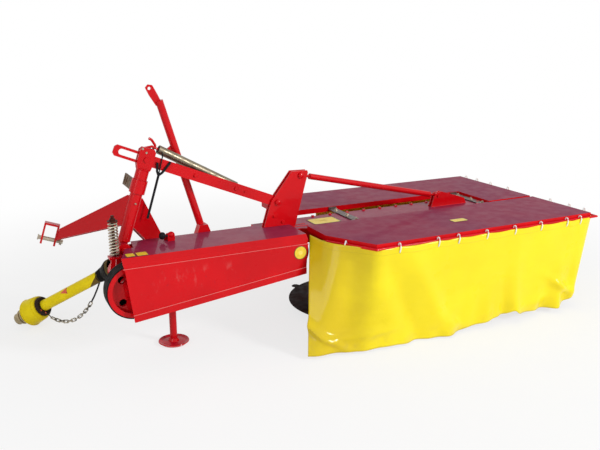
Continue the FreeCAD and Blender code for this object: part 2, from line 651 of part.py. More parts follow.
def hitch_arm(side):
    """Tapered arm plate from the sleeve to one clevis, with a folded top edge."""
    u = side * HITCH_HALF_SPREAD
    reach = math.hypot(u, HITCH_FORWARD)
    heading = math.degrees(math.atan2(HITCH_FORWARD, u))
    top, foot = SLEEVE_END - 22, SLEEVE_START + 56
    end = reach - 20
    high, low = top - ARM_TOP_SLOPE * (end - 38), foot - ARM_BOTTOM_SLOPE * (end - 30)
    outline = [(0, foot), (0, top), (38, top), (end, high), (end, low), (30, foot)]
    arm = plate_xz(outline, -ARM_WIDTH / 2, ARM_WIDTH / 2)
    hollow = [(-50, foot - 60), (-50, top - 6), (36, top - 6), (end + 10, high - 6),
              (end + 10, low - 60), (30, foot - 60)]
    web = ARM_WIDTH / 2 - 6
    arm = arm.cut(plate_xz(hollow, -web, web))
    arm = arm.cut(Part.makeCylinder(SLEEVE_RADIUS, 600, V(0, 0, -100)))
    arm.rotate(V(0, 0, 0), V(0, 0, 1), heading)
    ear = abs(u) - CLEVIS_INNER / 2 - CLEVIS_PLATE
    beyond = block(ear, ear + 200, 0, 900, -400, 400)
    if side < 0:
        beyond.translate(V(-2 * ear - 200, 0, 0))
    return on_column(arm.cut(beyond), HITCH_TURN)


def clevis(side):
    """Bridge over the lower link with two ears for the hitch pin."""
    u, v, s = side * HITCH_HALF_SPREAD, HITCH_FORWARD, HITCH_DROP
    half, plate = CLEVIS_INNER / 2, CLEVIS_PLATE
    bridge = block(u - half - plate, u + half + plate, v - 30, v + 22, s + 78, s + 88)
    shapes = [bridge]
    for x0 in (u - half - plate, u + half):
        shapes.append(block(x0, x0 + plate, v - 30, v + 22, s - 26, s + 78))
    body = join(*shapes)
    return on_column(body.cut(rod((u - 60, v, s), (u + 60, v, s), HITCH_PIN_RADIUS)), HITCH_TURN)


def hitch_pins():
    """Both lower hitch pins, with their heads."""
    pins = []
    for side in (-1, 1):
        u = side * HITCH_HALF_SPREAD
        half = CLEVIS_INNER / 2 + CLEVIS_PLATE
        pin = rod((u - half - 12, HITCH_FORWARD, HITCH_DROP), (u + half + 34, HITCH_FORWARD, HITCH_DROP),
                  HITCH_PIN_RADIUS)
        head = rod((u - half - 18, HITCH_FORWARD, HITCH_DROP), (u - half - 12, HITCH_FORWARD, HITCH_DROP),
                   HITCH_PIN_RADIUS + 4)
        pins.append(on_column(join(pin, head), HITCH_TURN))
    return Part.makeCompound(pins)


def top_link_plate():
    """Plate with two slots, welded to the collar for the tractor's top link."""
    x0 = -COLLAR_RADIUS + 2
    plate = block(x0, x0 + 8, 0, TOP_LINK_REACH, SLEEVE_END + 8, COLLAR_END - 2)
    plate = plate.cut(Part.makeCylinder(COLLAR_RADIUS, 200, V(0, 0, SLEEVE_END - 50)))
    for y in (TOP_LINK_REACH - 26, TOP_LINK_REACH - 60):
        plate = plate.cut(block(x0 - 1, x0 + 9, y - 9, y + 9, SLEEVE_END + 20, COLLAR_END - 14))
    return on_column(plate, TOP_LINK_TURN)


# ---------------------------------------------------------------- lift bar and ties
def bar_frame():
    """Direction of the lift bar, from its bracket pin to the pin in the head."""
    pin = V(BAR_PIN_X, BEAM_Y, BAR_PIN_Z)
    head = column_point(HEAD_PIN_S)
    return pin, (head - pin).normalize(), (head - pin).Length


def along_bar(shape):
    """Move a shape modelled along +X from the origin on to the lift bar's line."""
    pin, direction, _ = bar_frame()
    shape = shape.copy()
    angle = math.degrees(math.atan2(direction.z, direction.x))
    shape.rotate(V(0, 0, 0), V(0, 1, 0), -angle)
    shape.translate(pin)
    return shape


def lift_bar():
    """Flat bar with an eye at the bracket and a long slot at the column head."""
    _, _, length = bar_frame()
    half, t = BAR_HEIGHT / 2, BAR_THICKNESS / 2
    far = length + SLOT_TRAVEL + 40
    bar = plate_xz([(0, -half), (far - 12, -half), (far, -half + 12), (far, half - 12),
                    (far - 12, half), (0, half)], -t, t)
    bar = join(bar, rod((0, -t, 0), (0, t, 0), half))
    bar = bar.cut(rod((0, -20, 0), (0, 20, 0), BAR_PIN_RADIUS + RUNNING_GAP))
    gap = HEAD_PIN_RADIUS + SLOT_PLAY
    slot = join(rod((length, -20, 0), (length, 20, 0), gap),
                rod((length + SLOT_TRAVEL, -20, 0), (length + SLOT_TRAVEL, 20, 0), gap),
                block(length, length + SLOT_TRAVEL, -20, 20, -gap, gap))
    return along_bar(bar.cut(slot))


def bracket_foot():
    """Left end, right end and half width of the bracket's foot."""
    return -309.0, -120.0, BAR_THICKNESS / 2 + SEAT_GAP + CHEEK_ROOM + BRACKET_PLATE


def beam_bracket():
    """Two cheek plates on the gearbox, joined by a back flange and pins."""
    x0, x1, reach = bracket_foot()
    inner = reach - BRACKET_PLATE
    foot = GEARBOX_TOP
    outline = [(x0, foot), (BAR_PIN_X - 36, BAR_PIN_Z + 14), (BAR_PIN_X - 16, BAR_PIN_Z + 34),
               (APEX_X - 54, APEX_Z + 26), (APEX_X + 40, APEX_Z + 24), (APEX_X + 44, APEX_Z + 12), (x1, foot)]
    shapes = [plate_xz(outline, BEAM_Y - reach, BEAM_Y - inner),
              plate_xz(outline, BEAM_Y + inner, BEAM_Y + reach)]
    for x, z, radius in ((BAR_PIN_X, BAR_PIN_Z, BAR_PIN_RADIUS), (APEX_X, APEX_Z, TIE_PIN_RADIUS)):
        shapes.append(rod((x, BEAM_Y - reach - 6, z), (x, BEAM_Y + reach + 6, z), radius))
    shapes.append(block(x0, x1, BEAM_Y - inner, BEAM_Y + inner, foot, foot + 10))
    return join(*shapes)


def cutter_tie():
    """Tie tube from the bracket's apex to the lug on the gear beam, with flattened ends."""
    start, end = V(APEX_X, BEAM_Y, APEX_Z), V(TIE_LUG_X, 0, TIE_LUG_Z)
    way = (end - start).normalize()
    inner = bracket_foot()[2] - BRACKET_PLATE
    lug = TIE_EYE / 2
    tube = rod(start + way * 64, end - way * 62, TIE_RADIUS)
    eye = rod((APEX_X, BEAM_Y - inner, APEX_Z), (APEX_X, BEAM_Y + inner, APEX_Z), 22)
    neck = rod(start, start + way * 70, inner - 3)
    far_eye = rod((TIE_LUG_X, -lug, TIE_LUG_Z), (TIE_LUG_X, lug, TIE_LUG_Z), 22)
    far_neck = rod(end - way * 70, end, lug - 3)
    tie = join(tube, eye, neck, far_eye, far_neck)
    tie = tie.cut(rod((APEX_X, BEAM_Y - 40, APEX_Z), (APEX_X, BEAM_Y + 40, APEX_Z), TIE_PIN_RADIUS))
    return tie.cut(rod((TIE_LUG_X, -40, TIE_LUG_Z), (TIE_LUG_X, 40, TIE_LUG_Z), TIE_PIN_RADIUS))


def tie_lug():
    """Long wedge lug on the gear beam with two cheeks for the tie."""
    foot, inner = GEAR_BEAM_TOP, TIE_EYE / 2
    cheek = inner + 8
    outline = [(TIE_LUG_X - 50, foot), (TIE_LUG_X - 24, TIE_LUG_Z + 16), (TIE_LUG_X + 22, TIE_LUG_Z + 24),
               (TIE_LUG_X + 200, foot + 34), (TIE_LUG_X + 214, foot)]
    cheeks = [plate_xz(outline, -cheek, -inner), plate_xz(outline, inner, cheek)]
    web = block(TIE_LUG_X + 60, TIE_LUG_X + 190, -inner, inner, foot, foot + 8)
    pin = rod((TIE_LUG_X, -cheek - 8, TIE_LUG_Z), (TIE_LUG_X, cheek + 8, TIE_LUG_Z), TIE_PIN_RADIUS)
    return join(*cheeks, web, pin)


def relief_frame():
    """Ends of the relief tube beside the lift bar."""
    return V(-846, RELIEF_Y, 1030), V(-440, RELIEF_Y, 805)


def relief_tube():
    """Zinc-plated tube of the relief spring, pinned to the far side of the lift bar."""
    start, end = relief_frame()
    way = (end - start).normalize()
    side = BEAM_Y + BAR_THICKNESS / 2
    foot = end - way * 30
    lug = rod((foot.x, side, foot.z), (foot.x, RELIEF_Y, foot.z), 10)
    return join(rod(start, end, RELIEF_RADIUS), lug)


def relief_hook():
    """Bent rod from the relief tube's end round behind the head's pin."""
    start, end = relief_frame()
    way = (start - end).normalize()
    return bent_rod([start, start + way * 34, start + V(-66, 0, 12), start + V(-94, 0, -16),
                     start + V(-86, 0, -46), start + V(-62, 0, -52)], 6)


def tall_stay():
    """Tall tube beside the column; its splayed foot is bolted to the far side of the beam."""
    side = BEAM_Y + BEAM_SIZE / 2
    y = STAY_Y
    foot, top = V(-612, y, 560), V(-815, y, 1265)
    way = (top - foot).normalize()
    tube = rod(foot + way * 20, top, STAY_RADIUS)
    sole = prism([(-590, side, 470), (-650, side, 470), (-662, side, 556), (-578, side, 556)],
                 (0, 8, 0))
    splay = prism([(-662, side, 556), (-578, side, 556), (-598, side, 610), (-642, side, 610)],
                  (0, y - side + 6, 0))
    tip = prism([(-832, y - 4, 1240), (-796, y - 4, 1240), (-822, y - 4, 1296), (-846, y - 4, 1342),
                 (-868, y - 4, 1346), (-882, y - 4, 1330), (-864, y - 4, 1292)], (0, 8, 0))
    gusset = plate_xz([(-790, 1020), (-754, 1046), (-738, 986)], y - 4, y + 4)
    hole = rod((-862, y - 10, 1326), (-862, y + 10, 1326), 8)
    return join(tube, sole, splay, tip, gusset).cut(hole)


def pto_support():
    """Hooked rod with a fork on the lift bar, which carries the drive shaft when unhitched."""
    y = BEAM_Y - BAR_THICKNESS / 2 - SUPPORT_RADIUS - SEAT_GAP
    knot = V(-866, y, 910)
    stem = bent_rod([V(-933, y, 697), knot], SUPPORT_RADIUS)
    fork = bent_rod([V(-868, y, 974), V(-872, y, 930), knot, V(-846, y, 922), V(-801, y, 971)],
                    SUPPORT_RADIUS)
    over = V(-838, y, 1012)
    hook = bent_rod([knot, over, over + V(4, 26, 4), over + V(4, 30, -22)], SUPPORT_RADIUS / 2)
    return join(stem, fork, hook)


# ---------------------------------------------------------------- safety spring
def spring_rod():
    """Rod through the safety spring, with its washer and nut."""
    x, y, z0 = SPRING_X, SPRING_Y, SPRING_BOTTOM
    z1 = z0 + SPRING_LENGTH + SEAT_GAP
    shapes = [
        rod((x, y, z0 - SEAT_GAP), (x, y, z1 + 30), 8),
        rod((x, y, z1), (x, y, z1 + 5), SPRING_RADIUS + SPRING_WIRE),
        rod((x, y, z1 + 5), (x, y, z1 + 17), 13),
    ]
    return join(*shapes)


def safety_spring():
    """Compression spring of round wire, standing on the seat of the foot ear."""
    steps = 10
    pitch = (SPRING_LENGTH - 2 * SPRING_WIRE) / SPRING_COILS
    points = []
    for index in range(SPRING_COILS * steps + 1):
        angle = 2 * math.pi * index / steps
        points.append(V(SPRING_X + SPRING_RADIUS * math.cos(angle), SPRING_Y + SPRING_RADIUS * math.sin(angle),
                        SPRING_BOTTOM + SPRING_WIRE + pitch * index / steps))
    way = (points[1] - points[0]).normalize()
    side = way.cross(V(0, 0, 1)).normalize()
    up = side.cross(way)
    section = []
    for index in range(7):
        angle = math.pi * index / 3
        section.append(points[0] + side * (SPRING_WIRE * math.cos(angle)) + up * (SPRING_WIRE * math.sin(angle)))
    return swept(points, Part.makePolygon(section))


# ---------------------------------------------------------------- covers
def front_inner_y():
    """Edge of the front cover that clears the rear cover when that is folded up."""
    return HINGE_Y + COVER_TOP - HINGE_Z + SAFE_GAP


def cover_outline(side, d=0.0):
    """Outline of one cover, drawn in by d; side is -1 for the rear cover and 1 for the front one."""
    left, right, edge = COVER_LEFT + d, COVER_RIGHT - d, COVER_EDGE_Y - d
    cx, cy = (CHAMFER_X, CHAMFER_Y) if side < 0 else (FAR_CHAMFER_X, FAR_CHAMFER_Y)
    slant = math.atan2(cx, cy)
    along = d * math.tan(slant / 2)
    across = d * math.tan(math.pi / 4 - slant / 2)
    corner = [(left, side * (COVER_EDGE_Y - cy - along)), (COVER_LEFT + cx + across, side * edge)]
    if side < 0:
        hinge = REAR_HINGE_Y - d
        return [(left, hinge), *corner, (right, -edge), (right, hinge)]
    hinge, inner, channel = FRONT_HINGE_Y + d, front_inner_y() + d, CHANNEL_RIGHT + d
    return [(left, hinge), *corner, (right, edge), (right, inner), (channel, inner), (channel, hinge)]


def cover(side):
    """Folded sheet cover with lips all round; the rear one carries its hinge knuckles."""
    sheet = plate_xy(cover_outline(side), COVER_TOP - COVER_LIP, COVER_TOP)
    hollow = plate_xy(cover_outline(side, COVER_SHEET), COVER_TOP - COVER_LIP - 1, COVER_TOP - COVER_SHEET)
    shell = sheet.cut(hollow)
    if side > 0:
        return shell
    knuckles = []
    for x in (STRAP_LEFT_X, STRAP_RIGHT_X):
        knuckles.append(rod((x - KNUCKLE_LENGTH / 2, HINGE_Y, HINGE_Z),
                            (x + KNUCKLE_LENGTH / 2, HINGE_Y, HINGE_Z), KNUCKLE_RADIUS))
    shell = join(shell, *knuckles)
    return shell.cut(rod((COVER_LEFT, HINGE_Y, HINGE_Z), (COVER_RIGHT, HINGE_Y, HINGE_Z),
                         HINGE_PIN_RADIUS + RUNNING_GAP))


def cover_straps():
    """Straps across the gear beam that carry the front cover and the rear cover's hinge pins."""
    straps = []
    z0 = GEAR_BEAM_TOP
    z1 = z0 + STRAP_THICKNESS
    ear = (STRAP_WIDTH - KNUCKLE_LENGTH) / 2 - 1
    for x in (STRAP_LEFT_X, STRAP_RIGHT_X):
        x0, x1 = x - STRAP_WIDTH / 2, x + STRAP_WIDTH / 2
        room = KNUCKLE_RADIUS + 3
        bar = block(x0, x1, HINGE_Y + room, FRONT_HINGE_Y, z0, z1)
        riser = block(x0, x1, FRONT_HINGE_Y - STRAP_THICKNESS, FRONT_HINGE_Y, z0, COVER_TOP - 2)
        shapes = [bar, riser, rod((x0, HINGE_Y, HINGE_Z), (x1, HINGE_Y, HINGE_Z), HINGE_PIN_RADIUS)]
        for start in (x0, x1 - ear):
            shapes.append(rod((start, HINGE_Y, HINGE_Z), (start + ear, HINGE_Y, HINGE_Z),
                              HINGE_PIN_RADIUS + 2))
            shapes.append(block(start, start + ear, HINGE_Y, HINGE_Y + room + 1, z0, HINGE_Z - 1))
        straps.append(join(*shapes))
    return Part.makeCompound(straps)


def cover_rail(side):
    """Round rail outside the lips of one cover, which carries the curtain."""
    outline = cover_outline(side, -RAIL_RADIUS - SEAT_GAP)
    end = COVER_RIGHT + RAIL_REACH
    if side < 0:
        start = (outline[1][0], outline[1][1] - 20)
        points = [start, outline[2], (end, outline[3][1]), (end, REAR_HINGE_Y)]
        posts = (-520, -350, -180)
    else:
        points = [(FRONT_CURTAIN_LEFT, outline[3][1]), (end, outline[3][1]), (end, front_inner_y())]
        posts = (-60, 180, 400, 540)
    rail = bent_rod([V(x, y, RAIL_Z) for x, y in points], RAIL_RADIUS)
    struts = [block(COVER_RIGHT, end, y - 8, y + 8, RAIL_Z - 3, RAIL_Z + 3) for y in posts]
    return join(rail, *struts)


def hanging_sheet(top, bottom, thickness):
    """Sheet between two lines of as many points, thickened to the right of its way."""
    def beside(points):
        moved = []
        for index, point in enumerate(points):
            before, after = points[max(index - 1, 0)], points[min(index + 1, len(points) - 1)]
            way = V(after.x - before.x, after.y - before.y, 0).normalize()
            moved.append(point + V(way.y, -way.x, 0) * thickness)
        return moved
    top, bottom = [V(*p) for p in top], [V(*p) for p in bottom]
    lines = [top, beside(top), beside(bottom), bottom]
    faces = []
    for k in range(4):
        one, two = lines[k], lines[(k + 1) % 4]
        for i in range(len(top) - 1):
            faces.append(Part.makeRuledSurface(Part.makeLine(one[i], one[i + 1]),
                                               Part.makeLine(two[i], two[i + 1])))
    for i in (0, -1):
        faces.append(Part.makeRuledSurface(Part.makeLine(lines[0][i], lines[3][i]),
                                           Part.makeLine(lines[1][i], lines[2][i])))
    shell = Part.makeShell(faces)
    shell.sewShape()
    solid = Part.makeSolid(shell)
    if solid.Volume < 0:
        solid.reverse()
    return solid


def curtain(side):
    """Hanging skirt round the outer edges of one cover, flared at its inner end."""
    z = RAIL_Z - RAIL_RADIUS - SEAT_GAP
    right, edge = COVER_RIGHT + RAIL_REACH, COVER_EDGE_Y + 8
    if side < 0:
        top = [(-130, -272, z + 16), (-100, -395, z + 6), (-20, -490, z), (84, -edge, z), (right, -edge, z),
               (right, REAR_HINGE_Y, z)]
        bottom = [(-268, -536, 20), (-180, -560, 20), (-52, -584, 20), (217, -620, 30), (1506, -606, 86),
                  (1536, REAR_HINGE_Y, 84)]
        return hanging_sheet(bottom, top, -CURTAIN_THICKNESS)
    left = FRONT_CURTAIN_LEFT
    top = [(left, edge, z), (right, edge, z), (right, front_inner_y(), z)]
    bottom = [(left, edge + 10, 30), (right - 26, edge + 6, 84), (right - 38, front_inner_y(), 84)]
    return hanging_sheet(top, bottom, CURTAIN_THICKNESS)


# ---------------------------------------------------------------- drive shaft
def pto_frame():
    """Joint centre and direction of the drive shaft, which rests on its yoke."""
    joint = V(BIG_PULLEY_X, PTO_JOINT_Y, BIG_PULLEY_Z)
    length, r = PTO_BELL_END + PTO_YOKE_REACH, PTO_YOKE_RADIUS
    droop = math.asin(joint.z / math.hypot(length, r)) - math.atan(r / length)
    heading = math.radians(PTO_HEADING)
    flat = math.cos(droop)
    return joint, V(flat * math.cos(heading), flat * math.sin(heading), -math.sin(droop))


def along_pto(profile):
    """Solid of revolution on the drive shaft; the profile gives (radius, distance)."""
    return turned_about(profile, *pto_frame())


def pto_tube():
    """Guard tube of the drive shaft, with a bearing ring at each end."""
    r, bore = PTO_TUBE_RADIUS, PTO_SHAFT_RADIUS + RUNNING_GAP
    inner = r - PTO_TUBE_WALL
    start, end = PTO_BOOT_END, PTO_BELL_END - PTO_BELL_LENGTH
    return along_pto([(bore, start), (r, start), (r, end), (bore, end), (bore, end - 16), (inner, end - 16),
                      (inner, start + 16), (bore, start + 16)])


def pto_bell():
    """Guard bell at the tractor end."""
    start, end, r = PTO_BELL_END - PTO_BELL_LENGTH, PTO_BELL_END, PTO_BELL_RADIUS
    hole = PTO_SHAFT_RADIUS + 4
    return along_pto([(hole, start), (r - 14, start), (r - 6, start + 26), (r, end - 12), (r, end), (r - 4, end),
                      (r - 4, end - 12), (r - 10, start + 28), (r - 17, start + 5), (hole, start + 5)])


def pto_bearing():
    """Dark bearing disc round the guard tube at the back of the bell, with the chain's lug."""
    end, r = PTO_BELL_END - PTO_BELL_LENGTH, PTO_BEARING_RADIUS
    disc_ring = along_pto([(PTO_TUBE_RADIUS, end - 16), (r - 6, end - 16), (r, end - 10), (r, end),
                           (PTO_TUBE_RADIUS, end)])
    joint, way = pto_frame()
    down = way.cross(V(-way.y, way.x, 0)).normalize()
    down = down if down.z < 0 else -down
    seat = joint + way * (end - 6) + down * (r - 8)
    hook = chain_point(chain_length(CHAIN_END))[0]
    return join(disc_ring, rod(seat, hook, CHAIN_WIRE))


def pto_boot():
    """Guard cone over the joint at the machine end."""
    start, end, r = PTO_BOOT_START, PTO_BOOT_END, PTO_BOOT_RADIUS
    neck, hole = PTO_TUBE_RADIUS + 6, PTO_SHAFT_RADIUS + 4
    ribs = []
    for index in range(PTO_BOOT_RIBS):
        at = start + 24 * index / PTO_BOOT_RIBS
        ribs += [(r - 2.5, at), (r, at + 1.5), (r, at + 4), (r - 2.5, at + 5.5)]
    return along_pto([(r - 5, start), *ribs, (r - 1, start + 26), (neck + 8, end - 14), (neck, end), (hole, end),
                      (hole, end - 4), (neck + 3, end - 16), (r - 5, start + 24)])


def chain_point(length):
    """Point of the catenary and its direction, at a length of chain from its lowest point."""
    joint, way = pto_frame()
    level = V(way.x, way.y, 0).normalize()
    turn = math.asinh(length / CHAIN_DROOP)
    reach = CHAIN_LOW_REACH + CHAIN_DROOP * turn
    height = CHAIN_LOW_Z + CHAIN_DROOP * (math.cosh(turn) - 1)
    slope = math.sinh(turn)
    return V(joint.x, joint.y, height) + level * reach, (level + V(0, 0, slope)).normalize()


def chain_length(reach):
    """Length of chain from its lowest point to a level distance from the joint."""
    return CHAIN_DROOP * math.sinh((reach - CHAIN_LOW_REACH) / CHAIN_DROOP)


def chain_link(centre, way, flat):
    """Closed eight-sided loop of square bar."""
    thick = way.cross(flat)
    bar = CHAIN_WIRE
    long, wide = CHAIN_PITCH / 2 + bar + SEAT_GAP, CHAIN_ROOM + bar
    corner = wide * 0.4

    def outline(grow):
        a, b, c = long + grow, wide + grow, corner + grow * 0.6
        points = [(a, b - c), (a - c, b), (c - a, b), (-a, b - c)]
        points += [(-u, -v) for u, v in points]
        return [centre + way * u + flat * v - thick * bar for u, v in points]
    return prism(outline(bar), thick * (2 * bar)).cut(prism(outline(-bar), thick * (2 * bar)))


def pto_chain():
    """Chain from the guard's collar to the bearing disc, its first stretch in a sleeve."""
    _, way = pto_frame()
    level = V(way.x, way.y, 0).normalize()
    across = V(-level.y, level.x, 0)
    half = CHAIN_PITCH / 2 + 2 * CHAIN_WIRE + 2.5 * SEAT_GAP
    start, end = chain_length(CHAIN_START), chain_length(CHAIN_END) - half
    first = end - (CHAIN_LINKS - 1) * CHAIN_PITCH
    covered = first - half - start
    bend = [chain_point(start + covered * share)[0] for share in (0, 0.35, 0.7, 1)]
    room = PTO_TUBE_RADIUS + SEAT_GAP
    sleeve = bent_rod(bend, CHAIN_SLEEVE_RADIUS).cut(
        along_pto([(0, 0), (room, 0), (room, PTO_BELL_END), (0, PTO_BELL_END)]))
    links = [sleeve]
    for index in range(CHAIN_LINKS):
        centre, along = chain_point(first + index * CHAIN_PITCH)
        flat = across if index % 2 else across.cross(along)
        links.append(chain_link(centre, along, flat))
    return Part.makeCompound(links)


def pto_inner_yoke():
    """Yoke on the machine's input shaft with the cross of the joint."""
    joint, way = pto_frame()
    x, z, r = joint.x, joint.z, PTO_YOKE_RADIUS
    ahead = V(0, 1, 0)
    pin = way.cross(ahead).normalize()
    side = pin.cross(ahead)
    end = PTO_JOINT_Y - 44
    hub = rod((x, end - 34, z), (x, end + 4, z), r).cut(rod((x, end - 40, z), (x, end, z), INPUT_SHAFT_RADIUS))
    ball = CROSS_RADIUS - SEAT_GAP
    reach, r_pin = PTO_CROSS_REACH, CROSS_PIN_RADIUS
    first = math.degrees(math.asin(r_pin / ball))
    arc = [math.radians(first + (180 - 2 * first) * index / 10) for index in range(11)]
    profile = [(0, -reach), (r_pin, -reach)] + [(ball * math.sin(a), -ball * math.cos(a)) for a in arc]
    profile += [(r_pin, reach), (0, reach)]
    cross = turned_about(profile, joint, pin)
    shapes = [hub, cross]
    for sign in (-1, 1):
        base = joint + pin * (22 * sign)
        corners = [base + ahead * a + side * b for a, b in ((-42, -9), (-42, 9), (0, 9), (7, 4), (7, -4), (0, -9))]
        shapes.append(prism(corners, pin * (10 * sign)))
    return join(*shapes)


def pto_shaft():
    """Shaft inside the guard with its neck on the cross and the yoke at the tractor end."""
    joint, _ = pto_frame()
    r, yoke, bore = PTO_SHAFT_RADIUS, PTO_YOKE_RADIUS, PTO_BORE_RADIUS
    end = PTO_BELL_END + PTO_YOKE_REACH
    start = PTO_BELL_END - 40
    neck = NECK_RADIUS
    shaft = along_pto([(0, 4), (neck, 4), (neck, 40), (neck + 4, 52), (r, 52), (r, start), (yoke - 4, start), (yoke, start + 6),
                       (yoke, end), (bore, end), (bore, end - 100), (0, end - 100)])
    return shaft.cut(Part.makeSphere(CROSS_RADIUS, joint))


def build():
    """Make every piece."""
    for name, x in drum_centres().items():
        keep("drum_" + name, drum(x))
        keep("disc_" + name, disc(x))
        keep("knives_" + name, knives(x, 0))
        keep("skid_" + name, skid(x))
    keep("gear_beam", gear_beam())
    keep("bevel_gearbox", bevel_gearbox())
    keep("main_beam", main_beam())
    keep("foot_ears", foot_ears())
    keep("input_housing", input_housing())
    keep("stand", stand())
    keep("big_pulley", big_pulley())
    keep("small_pulley", small_pulley())
    keep("v_belts", v_belts())
    keep("belt_guard", belt_guard())
    keep("column_post", column_post())
    keep("column_head", column_head())
    keep("hitch_sleeve", hitch_sleeve())
    keep("hitch_arm_left", hitch_arm(-1))
    keep("hitch_arm_right", hitch_arm(1))
    keep("clevis_left", clevis(-1))
    keep("clevis_right", clevis(1))
    keep("hitch_pins", hitch_pins())
    keep("top_link_plate", top_link_plate())
    keep("lift_bar", lift_bar())
    keep("beam_bracket", beam_bracket())
    keep("cutter_tie", cutter_tie())
    keep("tie_lug", tie_lug())
    keep("relief_tube", relief_tube())
    keep("relief_hook", relief_hook())
    keep("tall_stay", tall_stay())
    keep("pto_support", pto_support())
    keep("spring_rod", spring_rod())
    keep("safety_spring", safety_spring())
    keep("cover_straps", cover_straps())
    for name, side in (("rear", -1), ("front", 1)):
        keep("cover_" + name, cover(side))
        keep("rail_" + name, cover_rail(side))
        keep("curtain_" + name, curtain(side))
    keep("pto_tube", pto_tube())
    keep("pto_bell", pto_bell())
    keep("pto_bearing", pto_bearing())
    keep("pto_boot", pto_boot())
    keep("pto_chain", pto_chain())
    keep("pto_inner_yoke", pto_inner_yoke())
    keep("pto_shaft", pto_shaft())


def export():
    """Write one STEP file for each piece."""
    os.makedirs("parts", exist_ok=True)
    for name, shape in PARTS.items():
        shape.exportStep(os.path.join("parts", name + ".step"))


build()
export()
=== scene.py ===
"""Looks of the two-drum mower: finishes for every CAD piece, curtains, ties, fasteners, beads and stage."""
import json
import math

import bmesh
import bpy
import numpy as np
from mathutils import Matrix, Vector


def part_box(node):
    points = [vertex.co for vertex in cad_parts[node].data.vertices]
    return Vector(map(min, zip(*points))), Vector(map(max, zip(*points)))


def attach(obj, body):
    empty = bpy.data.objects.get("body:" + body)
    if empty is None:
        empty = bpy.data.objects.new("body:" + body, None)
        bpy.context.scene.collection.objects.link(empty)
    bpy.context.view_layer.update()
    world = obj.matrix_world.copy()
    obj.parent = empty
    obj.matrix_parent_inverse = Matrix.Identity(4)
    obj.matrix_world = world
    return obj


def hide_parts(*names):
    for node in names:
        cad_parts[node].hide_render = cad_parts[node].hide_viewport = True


bl_info = {
    "name": "Drum mower looks",
    "version": (1, 0, 0),
    "blender": (4, 5, 0),
    "location": "3D View > Sidebar > Mower",
    "description": "Dresses the packed two-drum mower: finishes, curtains, ties, fasteners and stage",
    "category": "Object",
}

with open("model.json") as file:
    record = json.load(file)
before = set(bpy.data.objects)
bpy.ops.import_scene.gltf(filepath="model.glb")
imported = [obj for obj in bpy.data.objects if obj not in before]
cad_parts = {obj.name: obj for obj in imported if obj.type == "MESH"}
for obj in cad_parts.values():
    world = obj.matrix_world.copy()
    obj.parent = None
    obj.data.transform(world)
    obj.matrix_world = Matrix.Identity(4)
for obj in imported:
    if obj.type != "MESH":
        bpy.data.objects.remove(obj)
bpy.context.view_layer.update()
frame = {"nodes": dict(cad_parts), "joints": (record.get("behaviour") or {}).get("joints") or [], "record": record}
JOINTS = {joint["name"]: joint for joint in frame["joints"]}
UP = np.array((0.0, 0.0, 1.0))
LEFT_SIDE, RIGHT_SIDE = SIDES = (0.0, -1.0, 0.0), (0.0, 1.0, 0.0)


def joint_place(name):
    """Anchor of a joint."""
    return np.array(JOINTS[name]["pos_m"], float)


def joint_way(name):
    """Unit axis of a joint."""
    axis = np.array(JOINTS[name]["axis"], float)
    return axis / np.linalg.norm(axis)


def corners(node):
    """Lowest and highest corner of a CAD node."""
    low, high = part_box(node)
    return np.array(low), np.array(high)


def top_of(node):
    """Height of a CAD node's top."""
    return corners(node)[1][2]


# ---- values a user may change
def colour_setting(title, about, value):
    """A colour that a user may change, in linear values."""
    return bpy.props.FloatVectorProperty(name=title, description=about, default=value, subtype="COLOR",
                                         size=3, min=0.0, max=1.0)


def length_setting(title, about, value, low, high):
    """A length that a user may change."""
    return bpy.props.FloatProperty(name=title, description=about, default=value, unit="LENGTH", min=low,
                                   max=high)


class MowerColours(bpy.types.PropertyGroup):
    """Base colours of the finishes, linear values."""

    red: colour_setting("Red paint", "Gloss paint of the frame and covers", (0.62, 0.002, 0.006))
    # Painted shade and sky reflection: the dark purple tint that gloss paint takes on faces that look up.
    film: colour_setting("Weathered film", "Dull film on faces that look up", (0.185, 0.018, 0.066))
    yellow: colour_setting("Curtain yellow", "Coated cloth of the curtains", (0.96, 0.78, 0.012))
    guard: colour_setting("Guard yellow", "Plastic of the drive shaft's guard", (0.98, 0.77, 0.010))
    zinc: colour_setting("Zinc", "Plated pins, spring and fasteners", (0.50, 0.44, 0.34))
    dark: colour_setting("Dark steel", "Bare and stained steel of discs and dishes", (0.014, 0.0025, 0.002))


class MowerSizes(bpy.types.PropertyGroup):
    """Sizes of the added pieces."""

    cloth: length_setting("Curtain thickness", "Thickness of the coated cloth", 0.003, 0.001, 0.006)
    sag: length_setting("Top sag", "Drop of the curtain's top edge between two ties", 0.004, 0.0, 0.03)
    fold: length_setting("Fold depth", "Depth of the curtains' widest folds", 0.042, 0.0, 0.05)
    tie_height: length_setting("Tie height", "Height of one white loop", 0.050, 0.03, 0.07)
    bolt: length_setting("Bolt size", "Width across the corners of a hexagon head", 0.019, 0.01, 0.03)
    bead: length_setting("Weld bead", "Radius of a weld bead", 0.0035, 0.001, 0.008)


def colours():
    """Colour settings of the scene."""
    return bpy.context.scene.mower_colours


def sizes():
    """Size settings of the scene."""
    return bpy.context.scene.mower_sizes


# ---- surfaces
def unit(vectors):
    """Vectors divided by their lengths."""
    vectors = np.asarray(vectors, float)
    return vectors / np.maximum(np.linalg.norm(vectors, axis=-1, keepdims=True), 1e-12)


def grid_faces(rows, columns, close_rows=False, close_columns=False):
    """Quads (i, j), (i, j+1), (i+1, j+1), (i+1, j); a closed way joins its last line to its first."""
    i = np.arange(rows - (not close_rows))[:, None]
    j = np.arange(columns - (not close_columns))[None]
    below, beside = (i + 1) % rows, (j + 1) % columns
    quads = (i * columns + j, i * columns + beside, below * columns + beside, below * columns + j)
    return np.stack(np.broadcast_arrays(*quads), -1).reshape(-1, 4)


def around(count):
    """Even angles round a circle."""
    return np.arange(count) * 2 * np.pi / count


